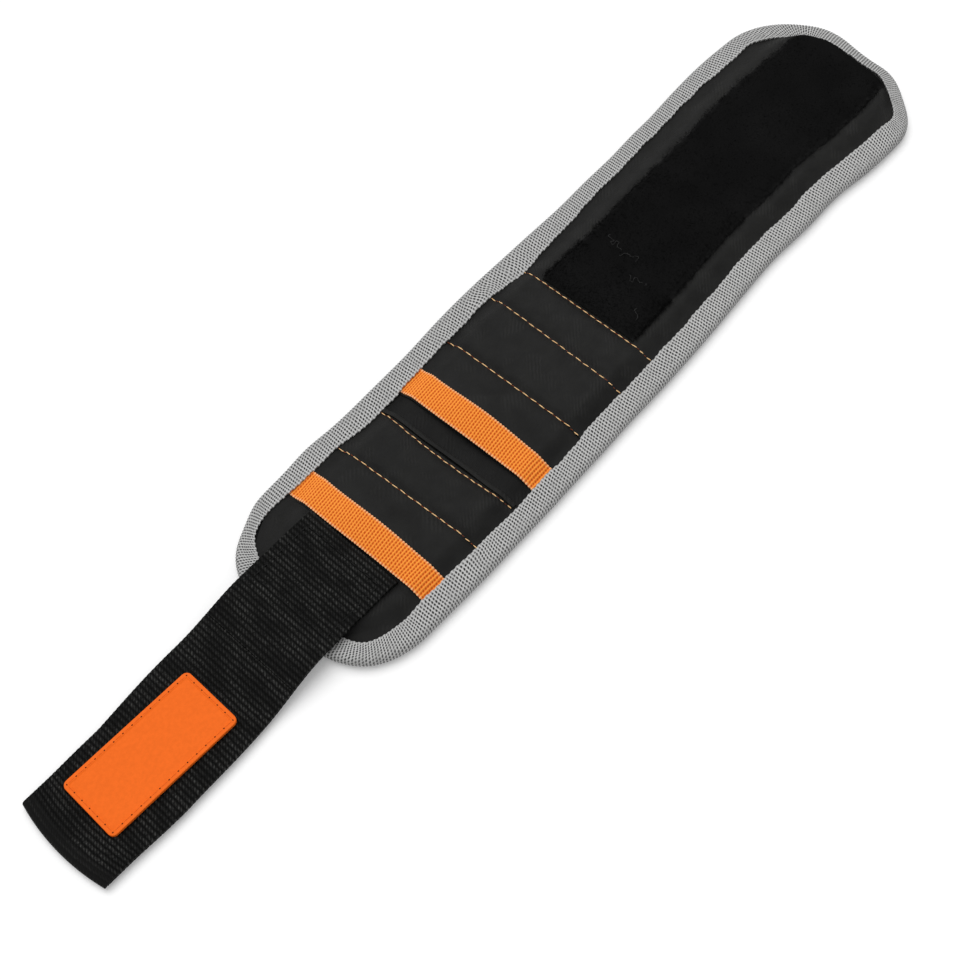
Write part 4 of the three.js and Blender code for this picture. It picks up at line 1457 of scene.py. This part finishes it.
def tape_place(s, v):
    """Lays a point of the tape: s round the edge, v across it from the lining's side."""
    inset = np.interp(v, section_run, section[:, 0])
    z = np.interp(v, section_run, section[:, 1])
    over = ease((v - section_run[-1] + edge_reach) / edge_reach)
    angle = 2 * math.pi * s / whole_round
    wander = edge_wander * ripple(half_round * np.cos(angle), half_round * np.sin(angle), wander_wave)
    scallop = edge_scallop * np.cos(math.pi * s / tape_rib)
    inset = inset + over * (wander + scallop * (over > 0.99))
    covering = ease((v - section_run[-1] + cover_reach) / cover_reach)
    inset = inset - covering * swells(np.mod(s, whole_round), cover_changes)
    relief = rib_height * np.cos(2 * math.pi * s / tape_rib)
    inset = np.maximum(0, inset + relief * np.interp(v, section_run, section_normal[:, 0]) + rib_height)
    z = z + relief * np.interp(v, section_run, section_normal[:, 1])
    x, y = outline_point(s, inset)
    for mouth, crest in ((far_mouth, far_crest), (near_mouth, near_crest)):
        over_ribbon = ease((x - mouth + 2 * mm) / (2.5 * mm)) * ease((crest + 3 * mm - x) / (2.5 * mm))
        z = z + ribbon_lump * over * over_ribbon
    return x, y, np.maximum(z, 0.02 * mm)


def side_distance(x):
    """The distance round the edge at which its left side passes x."""
    return corner_stop + (loop_end - loop_corner) - x


def tape_piece(name, start, stop, nodes, joint):
    """The tape from start to stop round the edge, four rows of the grid to a rib."""
    quarter = tape_rib / 4
    first, last = round(start / quarter), round(stop / quarter)
    rows = np.arange(first, last + 1, coarse) * quarter
    if rows[-1] < last * quarter - quarter / 2:
        rows = np.append(rows, last * quarter)
    piece = cloth(name, rows, section_run, tape_place, binding_tape)
    thicken(piece, tape_thickness)
    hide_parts(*nodes)
    bend(piece, joint)
    return piece


end_nodes = ["binding_strap_end", "binding_left_near_pocket", "binding_right_near_pocket"]
tape_rows = []
for stretch in stretches:
    number, joint = stretch["number"], stretch["joint"]
    start, stop = side_distance(stretch["high"]), side_distance(stretch["low"])
    segment = segments_of(stretch)[0]
    left, right = [f"binding_left_{segment}"], [f"binding_right_{segment}"]
    if number == 1:
        tape_rows.append(("tape_1", -stop, stop, ["binding_loop_tip"], joint))
    elif number == len(stretches):
        tape_rows.append((f"tape_{number}", start, whole_round - start, end_nodes, joint))
    else:
        tape_rows.append((f"tape_left_{number}", start, stop, left, joint))
        tape_rows.append((f"tape_right_{number}", whole_round - stop, whole_round - start, right, joint))
tape_pieces = [tape_piece(*row) for row in tape_rows]
print(len(tape_pieces), "pieces of tape")

# %% [markdown]
# ## Stitches
# A stitch is a short, fat bead of thread whose ends dive into the cloth, and between two stitches
# a thinner bead, painted darker as shade, shows where the thread dips. Every seam has its own pitch
# and its own two beads, copied along the line.

# %% Helper: a line of stitches
stitch_pitch = 3.9 * mm
seam_pitches = [3.64 * mm, 4.12 * mm, 4.27 * mm, 3.43 * mm, 4.00 * mm]
seam_inset = 9.0 * mm
stitch_share = 0.74
thread_radius = 0.22 * mm
stitch_lift = 0.12 * mm
dip_share = 0.45
dip_radius = 0.15 * mm
dip_lift = 0.02 * mm


def stitch_line(name, places, headings, unit, material, lay=settle):
    """One piece of thread: a copy of the bead at every place, turned to its heading."""
    return copies(name, unit, turned(np.asarray(places), np.asarray(headings)), material, lay)


# %% The five seams
for i, (x, pitch) in enumerate(zip(seams, seam_pitches)):
    count = int(2 * (half_width - seam_inset) / pitch)
    ys = (np.arange(count) - (count - 1) / 2) * pitch
    lines = far_lines if i < 3 else near_lines
    # The dips are beads of the darker thread, painted shade where the thread goes into the cloth.
    for word, shift, share, radius, lift, thread in (
        ("stitches", 0, stitch_share, thread_radius, stitch_lift, tan_thread),
        ("dips", pitch / 2, dip_share, dip_radius, dip_lift, dipping_thread),
    ):
        at = ys + shift
        xs = x + 0.08 * mm * np.sin(at * 900)
        zs = face_height(xs, at, lines) + lift
        headings = math.pi / 2 + 0.06 * np.sin(at * 700 + i)
        unit = bead(pitch * share, radius)
        piece = stitch_line(f"{word}_{i + 1}", np.stack([xs, at, zs], 1), headings, unit, thread)
        bend(piece, crease_of(x))
    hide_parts(f"seam_thread_{i + 1}")
print(len(seams), "seams, the last of", count, "stitches")

# %% [markdown]
# ## The strap
# The webbing starts under the near pocket's mouth, is boxed down on the face, falls in an easy S
# from the top of the band to the floor, and is folded back under itself at the tip. It leans by
# less than two degrees, as it was sewn. It is a grid along that path with its ribs as real relief.

# %% The strap's path
strap_lean = math.radians(-1.76)
strap_start = Vector((near_mouth - 1.6 * mm, -3.9 * mm, 0))
strap_half = 23 * mm
strap_sway = 4.2 * mm
strap_sway_run = 112 * mm
strap_thickness = 1.6 * mm
neck_from = 38.0 * mm
neck_to = 71.5 * mm
strap_length = 151.0 * mm
tip_bow = 2.6 * mm
bow_run = 24 * mm
hem_turn = 12 * mm
rib_relief, thread_relief = 0.13 * mm, 0.06 * mm
pressed_share = 0.75
base_level = low("webbing_base").z
tip_level = low("webbing_neck").z
strap_cos, strap_sin = math.cos(strap_lean), math.sin(strap_lean)


def on_strap(t, v, z):
    """A place on the strap: t from its start towards the tip, v across, z up."""
    wide = 1 + 0.045 * swell_near(t, 82 * mm, 24 * mm) - 0.02 * ease((t - 118 * mm) / (20 * mm))
    v = v * wide + strap_sway * np.clip(1 - (np.clip(t, 0, None) / strap_sway_run) ** 2, 0, 1)
    x = strap_start.x - t * strap_cos - v * strap_sin
    y = strap_start.y - t * strap_sin + v * strap_cos
    return x, y, z


turn_radius = 0.9 * mm
turn_run = math.pi * turn_radius
path_end = strap_length - turn_radius - strap_thickness / 2


def strap_place(w, v):
    """Lays the middle of the webbing: w along its path, over the top and back under the tip."""
    top = np.minimum(w, path_end)
    angle = np.clip((w - path_end) / turn_radius, 0, math.pi)
    under = np.clip(w - path_end - turn_run, 0, None)
    bow = tip_bow * (v / strap_half) ** 2
    t = top + turn_radius * np.sin(angle) - under
    t = t - bow * ease((t - path_end + bow_run) / bow_run)
    fall = ease((top - neck_from) / (neck_to - neck_from))
    middle = base_level + (tip_level - base_level) * fall + strap_thickness / 2
    dive = 1.1 * mm * ease((1.5 * mm - w) / (3 * mm))
    z = middle - turn_radius * (1 - np.cos(angle)) - dive
    ribs = rib_relief * np.cos(2 * math.pi * w / (webbing_rib * mm))
    leaning = webbing_lean * math.pi * w / (webbing_rib * mm)
    threads = thread_relief * np.cos(2 * math.pi * v / (webbing_thread * mm) + leaning)
    calm = 1 - pressed_share * ease((top - pressed_from * mm) / (pressed_run * mm))
    outwards = np.where(angle > math.pi / 2, -1, 1)
    z = z + outwards * (ribs + threads) * calm
    wave_z = 0.12 * mm * ripple(t, v, 30 * mm)
    tucked = v * (1 - 0.05 * ease((w - path_end) / (4 * mm)))
    return on_strap(t, tucked, z + wave_z * (w < path_end))


print("the webbing is", round((path_end + turn_run + hem_turn) / mm), "mm long when flat")

# %% The webbing in two stretches
neck_middle = (neck_from + neck_to) / 2
webbing_root = -1.3 * mm


def strap_bend(piece):
    """Bakes the place of a stretch of webbing into its mesh."""
    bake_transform(piece)


def webbing_piece(name, start, stop):
    """A stretch of webbing, four rows of the grid to a rib and to a thread."""
    rows = stations(start, stop, webbing_rib * mm / 4)
    vs = stations(-strap_half, strap_half, webbing_thread * mm / 4)
    piece = cloth(name, rows, vs, strap_place, webbing_cloth, as_placed)
    thicken(piece, strap_thickness - 0.2 * mm, 0)
    return piece


webbing_1 = webbing_piece("webbing_1", webbing_root, neck_middle)
webbing_2 = webbing_piece("webbing_2", neck_middle, path_end + turn_run + hem_turn)
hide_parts("webbing_base")
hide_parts("webbing_neck", "webbing_tip")
strap_bend(webbing_1)
strap_bend(webbing_2)
print("webbing of", len(webbing_1.data.polygons) + len(webbing_2.data.polygons), "faces")

# %% The box of stitches on the strap
box_half_width = 19 * mm
box_from, box_to = 5 * mm, 33 * mm


def run_of_stitches(a, b, pitch=stitch_pitch, start=0.5):
    """Stitch places and a heading along a straight run, the first one a share of the pitch in."""
    count = max(2, round((b - a).length / pitch))
    return [(a.lerp(b, (k + start) / count), math.atan2(b.y - a.y, b.x - a.x)) for k in range(count)]


def strap_stitches(name, corners, unit, material, height):
    """A closed run of stitches through corners given as (t, v) on the strap."""
    points = [Vector(on_strap(t, v, 0)) for t, v in corners]
    found = [s for a, b in zip(points, points[1:] + points[:1]) for s in run_of_stitches(a, b)]
    places = np.array([[p.x, p.y, height] for p, _ in found])
    return stitch_line(name, places, [h for _, h in found], unit, material, as_placed)


box_corners = [
    (box_from, -box_half_width), (box_to, -box_half_width),
    (box_to, box_half_width), (box_from, box_half_width),
]
box_top = base_level + strap_thickness
box_bead = bead(stitch_pitch * stitch_share, thread_radius)
box_stitches = strap_stitches("strap_stitches", box_corners, box_bead, black_thread, box_top)
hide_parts("strap_box_stitch")
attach(box_stitches, "strap_end")
print("box of", len(box_stitches.data.polygons) // len(box_bead[1]), "stitches")

# %% [markdown]
# ## The rubber label
# The label is one soft rubber moulding: a plate with round corners, a raised border, and a plain,
# lower field. The plate is a cube whose upright edges are bevelled round, its top is inset for
# the border, and the field is pushed down. Its stitches have nearly the colour of the rubber, so
# the needle holes between them, dark beads as painted shade, show more than the thread does.

# %% The label
label_size = Vector((59.5, 28.5, 1.4)) * mm
label_border = 2.3 * mm
label_corner = 2.4 * mm
label_depth = 0.2 * mm
label_step = 0.45 * mm
label_rim = 0.3 * mm
label_lean = math.radians(-2.66)
label_centre = (low("label") + high("label")) / 2


def label_mesh():
    """The plate of the label with its border and its lower field, laid in its place."""
    build = bmesh.new()
    bmesh.ops.create_cube(build, size=1, matrix=Matrix.Diagonal((*label_size, 1)))
    upright_edges = [e for e in build.edges if abs(e.verts[0].co.z - e.verts[1].co.z) > mm]
    bmesh.ops.bevel(build, geom=upright_edges, offset=label_corner, offset_type="OFFSET", affect="EDGES",
                    segments=10, profile=0.5, material=-1)
    top = [f for f in build.faces if f.normal.z > 0.9]
    for thickness in (label_step, label_border - 2 * label_step, label_step):
        bmesh.ops.inset_region(build, faces=top, thickness=thickness, depth=0.0)
    bmesh.ops.translate(build, vec=(0, 0, -label_depth), verts=list({v for f in top for v in f.verts}))
    rim = [e for e in build.edges if all(abs(v.co.z - label_size.z / 2) < 1e-6 for v in e.verts)
           and any(f.normal.z < 0.5 for f in e.link_faces)]
    bmesh.ops.bevel(build, geom=rim, offset=label_rim, offset_type="OFFSET", affect="EDGES",
                    segments=3, profile=0.5, material=-1)
    bmesh.ops.recalc_face_normals(build, faces=build.faces[:])
    mesh = bpy.data.meshes.new("label_plate")
    build.to_mesh(mesh)
    build.free()
    mesh.transform(Matrix.Translation(label_centre) @ Matrix.Rotation(label_lean, 4, "Z"))
    return mesh


label_plate = keep(label_mesh(), "label_plate", label_rubber)
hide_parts("label")
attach(label_plate, "strap_tip")
print("label at", [round(x / mm, 1) for x in label_centre])

# %% The label's stitches and needle holes
label_inset = 1.5 * mm
label_pitch = 4.3 * mm
label_sunk = 0.05 * mm
label_bead = bead(3.4 * mm, 0.14 * mm)
hole_bead = bead(0.75 * mm, 0.26 * mm)


def label_run(name, unit, start, material):
    """A closed run of small shapes round the label, one for each stitch."""
    half_x, half_y = label_size.x / 2 - label_inset, label_size.y / 2 - label_inset
    spin = Matrix.Translation(label_centre) @ Matrix.Rotation(label_lean, 4, "Z")
    corners = [spin @ Vector((a * half_x, b * half_y, 0)) for a, b in ((-1, -1), (1, -1), (1, 1), (-1, 1))]
    edges = zip(corners, corners[1:] + corners[:1])
    found = [s for a, b in edges for s in run_of_stitches(a, b, label_pitch, start)]
    places = [(p.x, p.y, high("label").z - label_sunk) for p, _ in found]
    piece = stitch_line(name, places, [h for _, h in found], unit, material, as_placed)
    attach(piece, "strap_tip")
    return piece


label_stitches = label_run("label_stitches", label_bead, 0.5, label_thread)
# The holes are dark beads, painted shade in the needle holes.
label_holes = label_run("label_holes", hole_bead, 0.0, needle_hole)
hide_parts("label_stitch")
print("label sewn with", len(label_holes.data.polygons) // len(hole_bead[1]), "stitches")

# %% [markdown]
# ## The hook panel
# Under the tip lies the moulded hook tape that grips the loops. It is a thin backing with rows of
# little hooks: one hook is a small section spun over most of a turn, and the field is copies of it.

# %% The hooks
hook_from = strap_start.x - high("hook_panel").x + 0.3 * mm
hook_run = 62 * mm
hook_half = 21 * mm
hook_top = high("hook_panel").z
hook_pitch = 1.7 * mm
hook_base = 0.5 * mm
hook_margin = 2 * mm
hook_sides = 5
hook_wire, hook_radius, hook_reach = 0.13 * mm, 0.42 * mm, 0.35 * mm
hook_turn = math.radians(230)


def hook_unit():
    """One hook, a small section spun over most of a turn."""
    build = bmesh.new()
    at = Matrix.Translation((hook_radius, 0, 0))
    bmesh.ops.create_circle(build, segments=hook_sides, radius=hook_wire, matrix=at)
    bmesh.ops.spin(
        build, geom=build.verts[:] + build.edges[:], cent=(0, 0, 0), axis=(0, 1, 0),
        dvec=(0, 0, 0), angle=hook_turn, steps=8, use_merge=False, use_duplicate=False,
    )
    bmesh.ops.holes_fill(build, edges=build.edges[:], sides=hook_sides)
    bmesh.ops.recalc_face_normals(build, faces=build.faces[:])
    return unit_mesh(build)


def hook_backing():
    """The plate under the strap's tip that carries the hooks."""
    ts = np.linspace(hook_from, hook_from + hook_run, 40)
    vs = np.linspace(-hook_half, hook_half, 30)

    def place(t, v):
        return on_strap(t, v, hook_top + 0 * t)

    piece = cloth("hook_backing", ts, vs, place, hook_plastic, as_placed)
    thicken(piece, hook_base)
    return piece


def hook_field():
    """Rows of hooks under the backing, every second row turned the other way."""
    ts = np.arange(hook_from + hook_margin, hook_from + hook_run - hook_margin, hook_pitch)
    vs = np.arange(-hook_half + hook_margin, hook_half - hook_margin, hook_pitch)
    t, v = (a.ravel() for a in np.meshgrid(ts, vs))
    x, y, _ = on_strap(t, v, 0)
    z = np.full(t.shape, hook_top - hook_base - hook_reach)
    flip = np.where(np.rint(v / hook_pitch) % 2 == 0, 0, math.pi)
    matrices = turned(np.stack([x, y, z], 1), flip + strap_lean)
    return copies("hooks", hook_unit(), matrices, hook_plastic, as_placed)


backing = hook_backing()
hooks = hook_field()
for piece in (backing, hooks):
    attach(piece, "strap_tip")
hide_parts("hook_panel")
print(len(hooks.data.vertices), "points in the hook field")

# %% [markdown]
# ## Floor and light
# The photograph is cut out on white, so the floor is a plain pale sheet that turns white in the
# camera and keeps a soft shadow. A white sky lights the cloth evenly, and one broad lamp, high up
# and a little beyond the band, gives the ribs and channels their shading.

# %% Floor and light
floor_half = 6.0
floor_gap = 0.3 * mm
floor_fill = 0.14
sky_level = 0.60
sun_level = 1.50
sun_softness = math.radians(55)
sun_from = Vector((0.22, 0.50, 1.25))


def seen_directly(tree):
    """1 for what the camera sees, itself or in metal and glass, and 0 for the light on the object."""
    path = tree.nodes.new("ShaderNodeLightPath")
    seen = calc(tree, "ADD", path.outputs["Is Camera Ray"], path.outputs["Is Glossy Ray"])
    return calc(tree, "MINIMUM", calc(tree, "ADD", seen, path.outputs["Is Transmission Ray"]), 1.0)


def floor_finish():
    """A pale floor that looks brighter to the camera than the light it throws on the band."""
    material, tree, shader = finish("pale_floor", 0.9, 0.0)
    shader.inputs["Base Color"].default_value = (0.9, 0.9, 0.9, 1)
    shader.inputs["Emission Color"].default_value = (1, 1, 1, 1)
    glow = calc(tree, "MULTIPLY", seen_directly(tree), floor_fill)
    tree.links.new(glow, shader.inputs["Emission Strength"])
    return material


build = bmesh.new()
bmesh.ops.create_grid(build, x_segments=1, y_segments=1, size=floor_half)
bmesh.ops.translate(build, verts=build.verts[:], vec=(0, 0, -floor_gap))
floor_mesh = bpy.data.meshes.new("floor")
build.to_mesh(floor_mesh)
build.free()
floor = keep(floor_mesh, "floor", floor_finish())

sky = bpy.data.worlds.new("sky")
bpy.context.scene.world = sky
sky.use_nodes = True
sky_tree = sky.node_tree
sky_tree.nodes["Background"].inputs["Color"].default_value = (1, 1, 1, 1)
sky_strength = calc(sky_tree, "MULTIPLY_ADD", seen_directly(sky_tree), 1 - sky_level, sky_level)
sky_tree.links.new(sky_strength, sky_tree.nodes["Background"].inputs["Strength"])

sun = bpy.data.objects.new("soft_sun", bpy.data.lights.new("soft_sun", "SUN"))
bpy.context.scene.collection.objects.link(sun)
sun.data.energy = sun_level
sun.data.angle = sun_softness
sun.location = sun_from
sun.rotation_euler = (-sun_from).to_track_quat("-Z", "Y").to_euler()
bpy.context.scene.view_settings.view_transform = "Standard"
print("lit by the sky and", sun.name)
